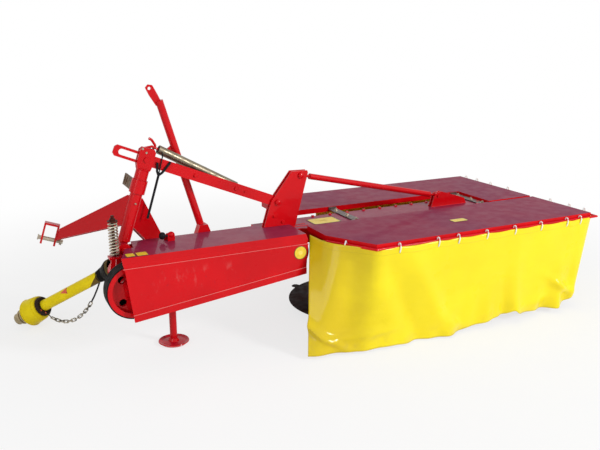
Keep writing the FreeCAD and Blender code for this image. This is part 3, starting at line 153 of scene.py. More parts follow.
def frames(ways):
    """Right-handed axes [X Y Z] for each direction Z, as (count, 3, 3) with the axes in columns."""
    z = unit(ways)
    helper = np.where(np.abs(z[:, 2:3]) > 0.9, np.array((1.0, 0, 0)), UP)
    x = unit(np.cross(helper, z))
    return np.stack((x, np.cross(z, x), z), -1)


def rays(angle, axes):
    """cos a X + sin a Y in each set of axes."""
    return np.cos(angle)[:, None] * axes[..., None, :, 0] + np.sin(angle)[:, None] * axes[..., None, :, 1]


def turned(profile, sides, centre=(0, 0, 0), way=(0, 0, 1), closed=False):
    """P(a, k) = centre + r_k (cos a X + sin a Y) + d_k way, profile (r_k, d_k); closed, it is a ring."""
    radius, along = np.asarray(profile, float).T
    axes = frames(np.asarray(way, float)[None])[0]
    points = np.asarray(centre, float) + radius[:, None, None] * rays(around(sides), axes)
    points = points + along[:, None, None] * axes[:, 2]
    return points.reshape(-1, 3), grid_faces(len(radius), sides, closed, True)


def circle(centre, way, radius, count=48):
    """C(a) = centre + r (cos a X + sin a Y) round a way, with its first point again at its end."""
    axes = frames(np.asarray(way, float)[None])[0]
    return np.asarray(centre, float) + radius * rays(np.linspace(0, 2 * math.pi, count), axes)


def tube(path, radius, sides, closed=False):
    """P(s, a) = C(s) + r(s) (cos a N + sin a B), with N and B square to the path C."""
    path = np.asarray(path, float)
    radius = np.broadcast_to(np.asarray(radius, float), len(path))
    ways = np.roll(path, -1, 0) - np.roll(path, 1, 0) if closed else np.gradient(path, axis=0)
    points = path[:, None] + radius[:, None, None] * rays(around(sides), frames(ways))
    if not closed:
        points = np.concatenate((path[:1, None].repeat(sides, 1), points, path[-1:, None].repeat(sides, 1)))
    return points.reshape(-1, 3), grid_faces(len(points), sides, closed, True)


def hoop(centre, way, radius, thickness, count, sides=6):
    """Tube bent to a ring round a way."""
    return tube(circle(centre, way, radius, count)[:-1], thickness, sides, True)


def merged(parts):
    """Several (points, faces) as one."""
    counts = np.cumsum([0] + [len(points) for points, _ in parts[:-1]])
    points = np.concatenate([points for points, _ in parts])
    return points, np.concatenate([faces + count for (_, faces), count in zip(parts, counts)])


def copies(shape, places, axes):
    """Q(k, n) = place_k + A_k p_n: a shape set at each place in axes of its own."""
    points, faces = shape
    moved = np.einsum("kij,nj->kni", axes, points) + places[:, None]
    index = faces[None] + (np.arange(len(places)) * len(points))[:, None, None]
    return moved.reshape(-1, 3), index.reshape(-1, 4)


def repeated(shape, places, ways):
    """A shape set at each place with its Z along each way."""
    places = np.atleast_2d(np.asarray(places, float))
    return copies(shape, places, frames(np.broadcast_to(np.asarray(ways, float), places.shape)))


def upright(shape, places, way):
    """A shape set at each place with its X along a level way and its Z up."""
    places, x = np.asarray(places, float), unit(way)
    return copies(shape, places, np.tile(np.stack((x, np.cross(UP, x), UP), -1), (len(places), 1, 1)))


def line_length(points):
    """Length of a broken line up to each of its points."""
    return np.concatenate(([0], np.cumsum(np.linalg.norm(np.diff(points, axis=0), axis=1))))


def smooth_line(points, count, rounding):
    """Even samples of a broken line, with corners rounded by a moving mean over `rounding` metres."""
    points = np.asarray(points, float)
    length = line_length(points)
    s = np.linspace(0, length[-1], count)
    line = np.stack([np.interp(s, length, column) for column in points.T], -1)
    width = max(int(rounding / (length[-1] / count)) | 1, 3)
    before, after = line[width // 2:0:-1] - line[0], line[-2:-width // 2 - 1:-1] - line[-1]
    padded = np.concatenate((line[0] - before, line, line[-1] - after))
    kernel = np.ones(width) / width
    return np.stack([np.convolve(column, kernel, "valid") for column in padded.T], -1), s


# ---- pieces
SHARP_ANGLE = math.radians(38)
MERGE_DISTANCE = 2e-6


def clean_up(mesh):
    """Merge the seams and turn every face outwards."""
    work = bmesh.new()
    work.from_mesh(mesh)
    bmesh.ops.remove_doubles(work, verts=work.verts, dist=MERGE_DISTANCE)
    bmesh.ops.recalc_face_normals(work, faces=work.faces)
    work.to_mesh(mesh)
    work.free()


def new_mesh(name, shape):
    """Mesh of (points, faces)."""
    mesh = bpy.data.meshes.new(name)
    mesh.from_pydata(shape[0].tolist(), [], shape[1].tolist())
    return mesh


def new_object(name, data):
    """Object in the scene."""
    made = bpy.data.objects.new(name, data)
    bpy.context.scene.collection.objects.link(made)
    return made


def make_piece(name, shape, body, finish, uv=None):
    """Mesh object that rides on a body, in a finish and its slot; one with its own map is an open sheet."""
    mesh = new_mesh(name, shape)
    if uv is None:
        clean_up(mesh)
    else:
        layer = mesh.uv_layers.new(name="cloth")
        layer.data.foreach_set("uv", np.asarray(uv, np.float32)[shape[1].reshape(-1)].ravel())
    mesh.materials.append(bpy.data.materials[finish])
    piece = new_object(name, mesh)
    mesh.polygons.foreach_set("use_smooth", np.ones(len(mesh.polygons), bool))
    mesh.set_sharp_from_angle(angle=SHARP_ANGLE)
    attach(piece, body)
    return piece


def thicken(piece, name, thickness, offset=0.0):
    """Give an open sheet its thickness."""
    thick = piece.modifiers.new(name, "SOLIDIFY")
    thick.thickness, thick.offset = thickness, offset


def hexagon_bolt(across, stud=0.0):
    """Washer, hexagon head with a bevelled top, and the end of a stud if it has one; Z is outwards."""
    r, high = across / 2, 0.36 * across
    parts = [
        turned(((0, 0), (1.18 * r, 0), (1.18 * r, 0.08 * r), (1.1 * r, 0.16 * r), (0, 0.16 * r)), 20),
        turned(((0, 0.1 * r), (r, 0.1 * r), (r, high), (0.88 * r, high + 0.1 * r), (0, high + 0.1 * r)), 6),
    ]
    if stud:
        end = high + stud
        parts.append(turned(((0, high), (0.52 * r, high), (0.52 * r, end), (0.42 * r, end + 0.05 * r),
                             (0, end + 0.05 * r)), 12))
    return merged(parts)


def weld_bead(path, radius):
    """Tube whose radius ripples as r (1 + 0.18 |sin|), one ripple about every 1.6 radii."""
    count = max(int(line_length(path)[-1] / (radius * 0.8)), 8)
    line, s = smooth_line(path, count, radius)
    ripple = radius * (0.82 + 0.18 * np.abs(np.sin(np.pi * s / (1.6 * radius))))
    return tube(line, ripple, 6)


# ---- finishes
class Nodes:
    """A node tree being laid out; each call adds a node and gives back its output."""

    def __init__(self, owner):
        owner.use_nodes = True
        self.owner, self.tree = owner, owner.node_tree

    def first(self, kind):
        """The node of a kind that the tree came with."""
        return next(node for node in self.tree.nodes if node.type == kind)

    def feed(self, node, inputs):
        """Link outputs to a node's sockets, or set the sockets to numbers or colours."""
        for key, value in inputs.items():
            socket = node.inputs[key]
            if isinstance(value, bpy.types.NodeSocket):
                self.tree.links.new(value, socket)
            elif hasattr(value, "__len__") and len(value) == 3 and len(socket.default_value) == 4:
                socket.default_value = (*value, 1.0)
            else:
                socket.default_value = value

    def add(self, kind, inputs, output=0, **settings):
        """One node with its settings and inputs."""
        node = self.tree.nodes.new("ShaderNode" + kind)
        for key, value in settings.items():
            setattr(node, key, value)
        self.feed(node, inputs)
        return node.outputs[output]

    def join(self, operation, one, two=0.0):
        """One or two values through an operation."""
        return self.add("Math", {0: one, 1: two}, operation=operation)

    def sum(self, one, two):
        """One value plus the other."""
        return self.join("ADD", one, two)

    def times(self, one, two):
        """One value times the other."""
        return self.join("MULTIPLY", one, two)

    def band(self, value, low, high, start=0.0, end=1.0):
        """Value from start to end as the input goes from low to high."""
        ends = {"From Min": low, "From Max": high, "To Min": start, "To Max": end}
        return self.add("MapRange", {"Value": value, **ends}, interpolation_type="SMOOTHSTEP")

    def ray(self, kind):
        """1 for rays of a kind, 0 for the others."""
        return self.add("LightPath", {}, f"Is {kind} Ray")

    def seen(self):
        """1 for the rays that look or mirror, 0 for the others."""
        return self.join("MAXIMUM", self.ray("Camera"), self.ray("Glossy"))


class Finish(Nodes):
    """A material being laid out on Object coordinates or, for a sheet, on its own map."""

    def __init__(self, name, metallic=0.0, coat=0.0, coat_roughness=0.1, specular=0.5):
        super().__init__(bpy.data.materials.new(name))
        self.shader = self.first("BSDF_PRINCIPLED")
        self.feed(self.shader, {"Metallic": metallic, "Coat Weight": coat, "Coat Roughness": coat_roughness,
                                "Specular IOR Level": specular})
        self.place = self.add("TexCoord", {}, "Object")
        self.cloth = self.place.node.outputs["UV"]

    def noise(self, scale, detail=3.0, roughness=0.55, on=None, turn=(0.0, 0.0, 0.0)):
        """Noise from 0 to 1 at one scale, or at one for each axis of turned coordinates."""
        on = on or self.place
        if not np.isscalar(scale):
            on, scale = self.add("Mapping", {"Vector": on, "Scale": scale, "Rotation": turn}), 1.0
        return self.add("TexNoise", {"Vector": on, "Scale": scale, "Detail": detail, "Roughness": roughness})

    def spots(self, scale, detail, low, high, start=0.0, end=1.0, **settings):
        """Noise in a band, from start to end."""
        return self.band(self.noise(scale, detail, **settings), low, high, start, end)

    def along(self, way):
        """Dot product of the place and a direction."""
        return self.add("VectorMath", {0: self.place, 1: tuple(way)}, "Value", operation="DOT_PRODUCT")

    def blend(self, factor, one, two):
        """Colour one where the factor is 0 and two where it is 1."""
        return self.add("Mix", {"Factor": factor, 6: one, 7: two}, 2, data_type="RGBA")

    def axis(self, vector, name):
        """One component of a vector."""
        return self.add("SeparateXYZ", {"Vector": vector}, name)

    def window(self, name, start, steps):
        """1 between the middle two of four steps along an axis, 0 outside the outer two."""
        value, (one, two, three, four) = self.axis(self.place, name), start + np.array(steps)
        return self.times(self.band(value, one, two), self.band(value, three, four, 1.0, 0.0))

    def facing_up(self):
        """1 on faces that look up, 0 on the others."""
        return self.band(self.axis(self.add("NewGeometry", {}, "Normal"), "Z"), 0.75, 0.97)

    def done(self, colour, roughness, height=None, strength=0.2, distance=0.001):
        """Feed the shader."""
        self.feed(self.shader, {"Base Color": colour, "Roughness": roughness})
        if height is not None:
            bump = self.add("Bump", {"Strength": strength, "Distance": distance, "Height": height})
            self.feed(self.shader, {"Normal": bump})


def shade(colour, factor):
    """Colour made darker or lighter."""
    return tuple(min(channel * factor, 1.0) for channel in colour)


def gloss_red(name, film=0.25, wear_and_guard_highlight=False, coat=0.25):
    """Gloss paint with slow drifts of tone, a painted shade and sky reflection on top faces as a dull purple tint,
    dust specks and fine scuffs; with wear switched on, also wiped streaks on the guard's side and a painted
    highlight along its lower steps.
    """
    f = Finish(name, coat=coat, coat_roughness=0.06, specular=0.08)
    red = tuple(colours().red)
    drift = f.noise(2.6)
    colour = f.blend(f.band(drift, 0.3, 0.7), shade(red, 0.88), shade(red, 1.08))
    colour = f.blend(f.spots((9, 30, 44), 7, 0.64, 0.74, 0.0, 0.35, roughness=0.66), colour, shade(red, 0.55))
    up = f.facing_up()
    if wear_and_guard_highlight:
        top = top_of("belt_guard")
        # Painted highlight: up-facing steps more than 22 mm below the guard's top get a pale pink band for the sky
        # glinting there, and the top tint is kept off them.
        step_highlight = f.band(f.axis(f.place, "Z"), top - 0.022, top - 0.012, 1.0, 0.0)
        colour = f.blend(f.times(f.times(up, step_highlight), 0.8), worn_face(f, colour), (0.95, 0.42, 0.40))
        up = f.times(up, f.join("SUBTRACT", 1.0, step_highlight))
    # Painted shade and sky reflection: faces that look up are tinted dull purple; the same mask also makes them
    # rougher.
    top_shade_and_dullness = f.times(up, f.band(drift, 0.25, 0.7, 0.85 * film, film))
    colour = f.blend(top_shade_and_dullness, colour, tuple(colours().film))
    colour = f.blend(f.spots(95, 5, 0.66, 0.80, 0.0, 0.22), colour, (0.42, 0.22, 0.16))
    roughness = f.sum(f.spots(17, 5, 0.3, 0.75, 0.26, 0.40), f.times(top_shade_and_dullness, 0.20))
    f.done(colour, roughness, f.sum(f.noise(5.5, 2), f.times(f.noise(260, 2), 0.06)), 0.10, 0.004)


def worn_face(f, colour):
    """Pale wiped streaks and dark rubs on the middle of the belt guard's side."""
    low = corners("belt_guard")[0]
    inside = f.window("X", low[0], (0.08, 0.16, 0.50, 0.66))
    mask = f.times(inside, f.window("Z", low[2], (0.10, 0.15, 0.20, 0.25)))
    wiped = f.spots((26, 26, 9), 6, 0.55, 0.68, 0.0, 0.34, roughness=0.7, turn=(0, 0.35, 0))
    colour = f.blend(f.times(wiped, mask), colour, (0.66, 0.16, 0.15))
    rubbed = f.spots((30, 30, 60), 7, 0.60, 0.70, 0.0, 0.55, roughness=0.7)
    return f.blend(f.times(rubbed, mask), colour, (0.20, 0.02, 0.04))


def zinc_plate(name, zinc, dull=0.0):
    """Passivated zinc: metal whose tone runs from grey to straw, with a brushed grain and darker stained patches.
    """
    f = Finish(name, metallic=0.85)
    colour = f.blend(f.spots(24, 4, 0.35, 0.65), shade(zinc, 0.72), zinc)
    colour = f.blend(f.spots(70, 6, 0.55, 0.75, 0.0, 0.55 + dull), colour, shade(zinc, 0.28))
    roughness = f.spots(40, 4, 0.3, 0.7, 0.24 + dull / 3, 0.48 + dull / 3)
    f.done(colour, roughness, f.noise((420, 420, 60)), 0.10, 0.0006)


def dark_steel(name):
    """Stained steel, nearly black, with rust blooms and faint wear streaks."""
    f = Finish(name, specular=0.02)
    colour = f.blend(f.spots(9, 6, 0.45, 0.70, roughness=0.65), tuple(colours().dark), (0.030, 0.007, 0.005))
    colour = f.blend(f.spots((30, 30, 160), 6, 0.62, 0.78, 0.0, 0.2), colour, (0.05, 0.026, 0.022))
    f.done(colour, f.spots(26, 5, 0.3, 0.7, 0.36, 0.60), f.noise(48, 5), 0.12)


def drum_paint(name):
    """Red drum that turns dark near its foot: the change runs along a rough line above the disc."""
    f = Finish(name, coat=0.2, coat_roughness=0.15)
    red, dark = tuple(colours().red), tuple(colours().dark)
    rim = top_of("disc_left")
    height = f.sum(f.axis(f.place, "Z"), f.times(f.noise(22, 5), 0.03))
    # Darker towards the foot: a near-black tone with brown patches below the rough line.
    dark_foot = f.blend(f.spots(13, 6, 0.45, 0.7), dark, (0.075, 0.028, 0.015))
    paint = f.blend(f.spots(9, 4, 0.3, 0.7), shade(red, 0.6), red)
    colour = f.blend(f.band(height, rim + 0.010, rim + 0.045), dark_foot, paint)
    f.done(colour, f.spots(30, 5, 0.3, 0.7, 0.30, 0.55), f.noise(60, 5), 0.15)


def black_coat(name, colour=(0.013, 0.013, 0.015), low=0.3, high=0.5):
    """Paint or plastic with a fine grain, scuffs and dust on top; black unless it is given a colour."""
    f = Finish(name, specular=0.05)
    tone = f.blend(f.spots(60, 6, 0.52, 0.75, 0.0, 0.7), colour, shade(colour, 2.6))
    tone = f.blend(f.times(f.facing_up(), f.spots(14, 4, 0.4, 0.7, 0.02, 0.22)), tone, (0.12, 0.09, 0.08))
    f.done(tone, f.spots(36, 4, 0.3, 0.7, low, high), f.noise(320), 0.18, 0.0006)


THREAD_PITCH = 0.0024


def curtain_cloth(name):
    """Coated cloth in the sheet's own coordinates: weave under the gloss, welded hems, handling marks and a
    painted shade that turns the cloth darker gold near the corner where it starts.
    """
    f = Finish(name, coat=0.45, coat_roughness=0.12, specular=0.05)
    yellow, thread = tuple(colours().yellow), 2 * math.pi / THREAD_PITCH
    across, down = f.axis(f.cloth, "X"), f.axis(f.cloth, "Y")
    drift = f.noise((2.3, 4.2, 1), 4, on=f.cloth)
    colour = f.blend(f.band(drift, 0.3, 0.72), shade(yellow, 0.92), yellow)
    # Painted shade: the cloth within about 0.3 to 0.6 m of its start, where it wraps the corner and turns from the
    # light, is darkened to gold.
    painted_corner_shade = f.times(f.band(f.sum(across, f.times(drift, 0.3)), 0.30, 0.62, 1.0, 0.0), 0.5)
    colour = f.blend(painted_corner_shade, colour, (0.55, 0.345, 0.006))
    hem = f.band(f.join("ABSOLUTE", f.join("SUBTRACT", down, 0.032)), 0.0, 0.0022, 1.0, 0.0)
    colour = f.blend(f.times(hem, 0.35), colour, shade(yellow, 0.55))
    marks = f.spots((7, 13, 1), 8, 0.66, 0.80, 0.0, 0.3, roughness=0.7, on=f.cloth)
    colour = f.blend(marks, colour, (0.42, 0.30, 0.05))
    low = f.times(f.band(down, 0.42, 0.56), f.spots((12, 12, 1), 5, 0.45, 0.7, on=f.cloth))
    colour = f.blend(f.times(low, 0.3), colour, (0.50, 0.36, 0.08))
    warp, weft = (f.join("SINE", f.times(place, thread)) for place in (across, down))
    weave = f.times(f.times(warp, weft), 0.04)
    creases = f.noise((7, 12, 1), 6, 0.6, f.cloth, (0, 0, 0.5))
    roughness = f.spots((9, 9, 1), 4, 0.3, 0.7, 0.26, 0.42, on=f.cloth)
    f.done(colour, roughness, f.sum(f.sum(creases, weave), f.times(hem, 0.3)), 0.45, 0.010)


def shaft_axes():
    """Joint of the drive shaft, its way, a direction across it and the one that looks up from it."""
    way = joint_way("pto_spin")
    side = unit(np.cross(way, UP))
    return joint_place("pto_spin"), way, side, np.cross(side, way)


def shaft_reach(f, way):
    """Distance from the drive shaft's joint along a direction."""
    return f.join("SUBTRACT", f.along(way), float(joint_place("pto_spin") @ way))


def guard_plastic(name):
    """Moulded yellow plastic, a little scuffed, with a painted shadow of the boot: a dark olive wedge on the tube
    beside it.
    """
    f = Finish(name, specular=0.10)
    yellow = tuple(colours().guard)
    _, way, _, top = shaft_axes()
    colour = f.blend(f.spots(16, 4, 0.3, 0.7), shade(yellow, 0.88), yellow)
    # Painted shadow: past this slanted line, where the boot's shade falls on the tube, the plastic is coloured
    # dark olive.
    edge = f.sum(shaft_reach(f, way + 1.9 * top), f.times(f.noise(14), 0.012))
    colour = f.blend(f.band(edge, 0.150, 0.156, 1.0, 0.0), colour, (0.150, 0.095, 0.016))
    colour = f.blend(f.spots(120, 6, 0.62, 0.75, 0.0, 0.4), colour, (0.25, 0.20, 0.08))
    f.done(colour, f.spots(30, 5, 0.3, 0.7, 0.30, 0.5), f.noise(240), 0.12, 0.0008)


def boot_rubber(name):
    """Black moulded rubber; its ribbed rim, within 36 mm of the joint, is a yellow band painted in the olive tone
    it shows in shade.
    """
    f = Finish(name, specular=0.10)
    black = f.blend(f.spots(60, 6, 0.52, 0.75, 0.0, 0.6), (0.012, 0.011, 0.010), (0.045, 0.040, 0.034))
    # Painted shade: the yellow band is given the olive tone it shows in shadow.
    shaded_yellow_band = f.blend(f.spots(34, 5, 0.35, 0.7), (0.125, 0.085, 0.026), (0.20, 0.15, 0.06))
    colour = f.blend(f.band(shaft_reach(f, joint_way("pto_spin")), 0.036, 0.038, 1.0, 0.0), black, shaded_yellow_band)
    f.done(colour, f.spots(36, 4, 0.3, 0.7, 0.45, 0.68), f.noise(280), 0.2, 0.0006)


def chain_steel(name):
    """Dull plated links, sooty in patches, under a black sleeve near the boot."""
    f = Finish(name, metallic=0.7)
    zinc = tuple(colours().zinc)
    colour = f.blend(f.spots(75, 5, 0.42, 0.60), shade(zinc, 0.95), shade(zinc, 0.12))
    colour = f.blend(f.band(f.axis(f.place, "Z"), 0.184, 0.188), colour, (0.010, 0.010, 0.011))
    f.done(colour, f.spots(60, 4, 0.3, 0.7, 0.30, 0.55), f.noise(400, 2), 0.1, 0.0004)


def blank_patch(name, colour, rim):
    """Blank vinyl patch: plain colour with a thin rim, slightly faded and scratched."""
    f = Finish(name, coat=0.2)
    tone = f.blend(f.spots(60, 6, 0.45, 0.7, 0.0, 0.5), colour, shade(colour, 0.7))
    tone = f.blend(f.band(f.axis(f.cloth, "X"), 0.90, 0.93), tone, rim)
    f.done(tone, f.spots(90, 4, 0.3, 0.7, 0.35, 0.55), f.noise(300, 2), 0.1, 0.0004)


NODE_FINISHES = {
    "zinc_plate": ("hitch_pins", "safety_spring"),
    "rod_brown": ("spring_rod",),
    "film_red": ("gear_beam", "bevel_gearbox"),
    "cover_red": ("cover_front", "cover_rear"),
    "strap_zinc": ("cover_straps",),
    "olive_zinc": ("relief_tube",),
    "brass_plate": ("pto_shaft",),
    "bronze_plate": ("top_link_plate",),
    "dark_steel": ("skid_left", "skid_right", "knives_left", "knives_right", "disc_left", "disc_right"),
    "drum_paint": ("drum_left", "drum_right"),
    "black_coat": ("pto_support", "pto_inner_yoke"),
    "black_rubber": ("v_belts",),
    "boot_rubber": ("pto_boot",),
    "bearing_brown": ("pto_bearing",),
    "guard_plastic": ("pto_tube", "pto_bell"),
    "chain_steel": ("pto_chain",),
    "curtain_cloth": ("curtain_rear", "curtain_front"),
    "guard_red": ("belt_guard",),
}


def make_finishes():
    """Make every finish, then give each CAD node its own."""
    gloss_red("gloss_red")
    gloss_red("guard_red", 0.9, True)
    gloss_red("film_red", 0.9)
    gloss_red("cover_red", 0.95, coat=0.06)
    zinc_plate("zinc_plate", tuple(colours().zinc))
    zinc_plate("brass_plate", (0.40, 0.32, 0.19), 0.1)
    zinc_plate("olive_zinc", (0.24, 0.20, 0.14), 0.1)
    zinc_plate("strap_zinc", (0.13, 0.10, 0.09), 0.2)
    black_coat("black_coat")
    # Painted shade: the red rod inside the spring is coloured dark red-brown, as it looks in the spring's shade.
    black_coat("rod_brown", (0.060, 0.014, 0.010))
    # Painted shade on a passivated zinc plate: its straw tone is laid down dark brown, as the plate looks in
    # shade.
    black_coat("bronze_plate", (0.130, 0.075, 0.040))
    black_coat("black_rubber", (0.014, 0.013, 0.013), 0.45, 0.7)
    black_coat("bearing_brown", (0.040, 0.026, 0.020), 0.35, 0.6)
    black_coat("tie_white", (0.86, 0.86, 0.84), 0.3, 0.45)
    for make in (dark_steel, drum_paint, boot_rubber, chain_steel, curtain_cloth, guard_plastic):
        make(make.__name__)
    blank_patch("patch_yellow", (0.85, 0.62, 0.03), (0.10, 0.07, 0.02))
    blank_patch("patch_orange", (0.80, 0.10, 0.02), (0.45, 0.04, 0.01))
    chosen = {node: name for name, nodes in NODE_FINISHES.items() for node in nodes}
    for node, piece in frame["nodes"].items():
        piece.data.materials.clear()
        piece.data.materials.append(bpy.data.materials[chosen.get(node, "gloss_red")])


# ---- curtains
CLOTH_COLUMNS, CLOTH_ROWS = 300, 56
RAIL_TRIM, RAIL_GAP, CORD_RADIUS = 0.004, 0.002, 0.0034
CURTAIN_TIES = {
    "rear": (0.01, 0.200, 0.440, 0.570, 0.760, 0.955, 1.145, 1.340, 1.445),
    "front": (0.365, 0.425, 0.630, 0.830, 1.030, 1.235, 1.435),
}
END_TIES = {"rear": (-0.510, -0.394, -0.238), "front": (0.147, 0.322, 0.466, 0.586)}
CURTAIN_FOLDS = {
    "rear": ((0.33, -0.16, 0.075, -0.85, 0.45), (0.19, -0.02, 0.07, 0.55, 0.8), (0.45, 0.21, 0.07, -0.8, 0.6),
             (0.60, 0.26, 0.06, 0.75, 0.7), (0.98, 0.02, 0.12, -0.3, 1.0), (1.10, 0.05, 0.05, 0.3, 2.2),
             (1.24, 0.04, 0.035, -0.7, 3.2), (1.33, 0.02, 0.045, 0.6, 2.6), (1.55, 0.04, 0.06, -0.75, 2.6),
             (1.66, 0.02, 0.045, 0.85, 2.4), (1.76, 0.02, 0.035, -0.55, 3.0), (2.30, 0.0, 0.10, -0.3, 1.0)),
    "front": ((0.9, 0.1, 0.10, -0.4, 1.0), (1.3, -0.1, 0.08, 0.4, 1.0), (1.62, 0.08, 0.10, -0.5, 1.2),
              (0.5, 0.0, 0.09, 0.4, 1.2)),
}
CURTAIN_BULGES = {
    "rear": ((0.055, 0.80, 0.9, 0.035, 0.16, 0.55), (0.20, 0.87, -0.8, 0.110, 0.045, 0.40),
             (0.40, 0.83, -0.9, 0.090, 0.045, 0.40), (0.90, 0.90, 0.5, 0.045, 0.07, 0.50),
             (1.72, 0.78, 0.7, 0.040, 0.14, 0.70), (1.52, 0.88, -0.6, 0.10, 0.08, 0.40)),
    "front": ((0.55, 0.82, 0.4, 0.07, 0.10, 0.45), (1.45, 0.84, -0.4, 0.06, 0.09, 0.45)),
}
CURTAIN_HEM = {
    "rear": ((1.34, 0.030, 0.026), (0.62, 0.1, -0.004)),
    "front": ((1.2, 0.05, 0.014), (1.7, 0.06, -0.010)),
}


def hung_cloth(side, top, bottom, ties):
    """P(u, v) = T(u) + (B(u) - T(u)) v + n(u) f(u, v), a sheet from its top line T to its hem B.

    The top drops between ties by sag sin^2. f sums folds a exp(-((s - c - k v) / w)^2) v^p and bulges
    a exp(-((s - c - k (v - d)) / w)^2 - ((v - d) / h)^2), and small ripples a(v) sin(k s + c) gather
    towards the hem.
    """
    upper, s = smooth_line(top, CLOTH_COLUMNS, 0.10)
    lower, _ = smooth_line(bottom, CLOTH_COLUMNS, 0.14)
    at_ties = np.interp(s, ties, np.arange(len(ties)))
    inside = (s > ties[0]) & (s < ties[-1])
    upper[:, 2] -= sizes().sag * np.sin(np.pi * at_ties) ** 2 * inside
    lower[:, 2] += sum(rise * np.exp(-((s - place) / width) ** 2) for place, width, rise in CURTAIN_HEM[side])
    ways = unit(np.gradient(upper[:, :2] + lower[:, :2], axis=0))
    outwards = np.stack((ways[:, 1], -ways[:, 0], 0 * s), -1)
    v = np.linspace(0, 1, CLOTH_ROWS)[:, None]
    depth = np.zeros((CLOTH_ROWS, CLOTH_COLUMNS))
    for place, lean, width, size, power in CURTAIN_FOLDS[side]:
        depth += size * np.exp(-((s - place - lean * v) / width) ** 2) * v ** power
    for place, level, lean, width, height, size in CURTAIN_BULGES[side]:
        depth += size * np.exp(-((s - place - lean * (v - level)) / width) ** 2 - ((v - level) / height) ** 2)
    ripple = 0.10 * v ** 0.5 * np.sin(21 * s + 1.3 * np.sin(4 * s)) + 0.07 * v ** 2 * np.sin(47 * s + 5 * v)
    gather = 0.06 * (1 - v) ** 6 * np.sin(2 * np.pi * at_ties)
    depth = sizes().fold * (depth + ripple + gather)
    points = upper + (lower - upper) * v[..., None] + outwards * depth[..., None]
    length = np.linalg.norm(lower - upper, axis=1)
    uv = np.stack(np.broadcast_arrays(s, length * v), -1)
    return (points.reshape(-1, 3), grid_faces(*depth.shape)), uv.reshape(-1, 2)


def make_curtain(side, body):
    """One curtain, hung from its rail and flared where the covers' inner corner is cut off."""
    rail_low, rail_high = corners("rail_" + side)
    z = (rail_low + rail_high)[2] / 2 + 0.001
    right = rail_high[0] - RAIL_TRIM
    if side == "rear":
        edge, end = rail_low[1] - RAIL_GAP, corners("curtain_rear")[1][1]
        top = [(-0.132, -0.262, z + 0.014), (-0.104, -0.395, z + 0.004), (-0.022, -0.490, z),
               (0.078, edge, z), (right - 0.040, edge, z), (right + RAIL_TRIM, edge + 0.070, z),
               (right + RAIL_TRIM, end, z)]
        bottom = [(-0.286, -0.548, 0.020), (-0.190, -0.568, 0.018), (-0.046, -0.592, 0.014),
                  (0.217, -0.622, 0.016), (0.395, -0.620, 0.008), (0.585, -0.616, 0.014),
                  (0.810, -0.613, 0.034), (0.897, -0.612, 0.050), (1.200, -0.612, 0.030),
                  (1.370, -0.610, 0.032), (1.490, -0.606, 0.086), (1.536, end, 0.084)]
        bend, sign = 3, 1
    else:
        edge = rail_high[1] + RAIL_GAP
        top = [(right + RAIL_TRIM, rail_low[1], z), (right, edge, z), (rail_low[0] + RAIL_GAP, edge, z)]
        bottom = [(1.540, rail_low[1], 0.084), (1.552, 0.616, 0.084), (rail_low[0] - RAIL_TRIM, 0.620, 0.030)]
        bend, sign = 1, -1
    start = line_length(top)[bend]
    ties = np.sort([start + sign * (x - top[bend][0]) for x in CURTAIN_TIES[side]])
    cloth, uv = hung_cloth(side, top, bottom, ties)
    piece = make_piece("curtain_sheet_" + side, cloth, body, "curtain_cloth", uv=uv)
    thicken(piece, "cloth_thickness", sizes().cloth)
    a, b, c, d = (cloth[0][cloth[1][:, k]] for k in range(4))
    area = np.linalg.norm(np.cross(c - a, d - b), axis=1).sum() / 2
    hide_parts("curtain_" + side)


def make_curtain_ties(side, body):
    """White loops round a rail and through its curtain: ovals (a cos t, b sin t), a little twisted."""
    half, reach = sizes().tie_height / 2, 0.013
    t = around(22)
    oval = np.stack((reach * np.cos(t), 0.0015 * np.sin(2 * t), half * np.sin(t)), -1)
    loop = tube(oval, CORD_RADIUS, 8, True)
    low, high = corners("rail_" + side)
    x, z = high[0] - RAIL_TRIM, (low + high)[2] / 2 - 0.006
    y = low[1] + RAIL_TRIM if side == "rear" else high[1] - RAIL_TRIM
    parts = [upright(loop, [(place, y, z) for place in CURTAIN_TIES[side][1:]], (0.12, 1.0, 0.0)),
             upright(loop, [(x + 0.003, place, z + 0.010) for place in END_TIES[side]], (1.0, 0.10, 0.0))]
    if side == "rear":
        parts.append(upright(loop, [(-0.026, -0.459, z)], (-0.847, -0.532, 0.0)))
    make_piece("curtain_ties_" + side, merged(parts), body, "tie_white")


# ---- fasteners and beads
def column_point(s, u=0.0, v=0.0, turn=0.0):
    """Foot + s along the column + u across it + v towards +Y, the last two turned about it."""
    foot, way = joint_place("column_rock"), joint_way("hitch_swing")
    across = np.cross((0, 1, 0), way)
    c, k = math.cos(math.radians(turn)), math.sin(math.radians(turn))
    return foot + s * way + (u * c - v * k) * across + (u * k + v * c) * np.array(RIGHT_SIDE)


# Places of fasteners and seams: (x, y) on the beam, (x, z) on its bracket, and distances from the foot along
# the lift bar, the column and its arms.
LID_BOLT_PITCH, LID_EDGE, LID_START = 0.115, 0.010, 0.035
STRAP_X, STRAP_Y, STRAP_HALF = (0.255, 1.165), (-0.088, 0.02, 0.150), 0.035
PLATE = 0.006
BRACKET_BOLTS, BRACKET_PINS = ((-0.242, 0.632), (-0.194, 0.596)), ((-0.222, 0.706), (-0.084, 0.842))
FOOT_PIN_HALF = 0.0705
LIFT_BAR_HEAD, LIFT_BAR_BOLTS, LIFT_BAR_SMALL = 0.455, (0.254, 0.489), 0.198
COLUMN_BOLTS, COLUMN_CHEEK = ((0.503, -0.030), (0.489, -0.008)), 0.008
COLUMN_SEAMS, HITCH_SEAM = ((0.036, 0.0225), (0.404, 0.0322)), (0.284, 0.0305)
NIPPLE_AT, SLEEVE_RADIUS = 0.235, 0.0296
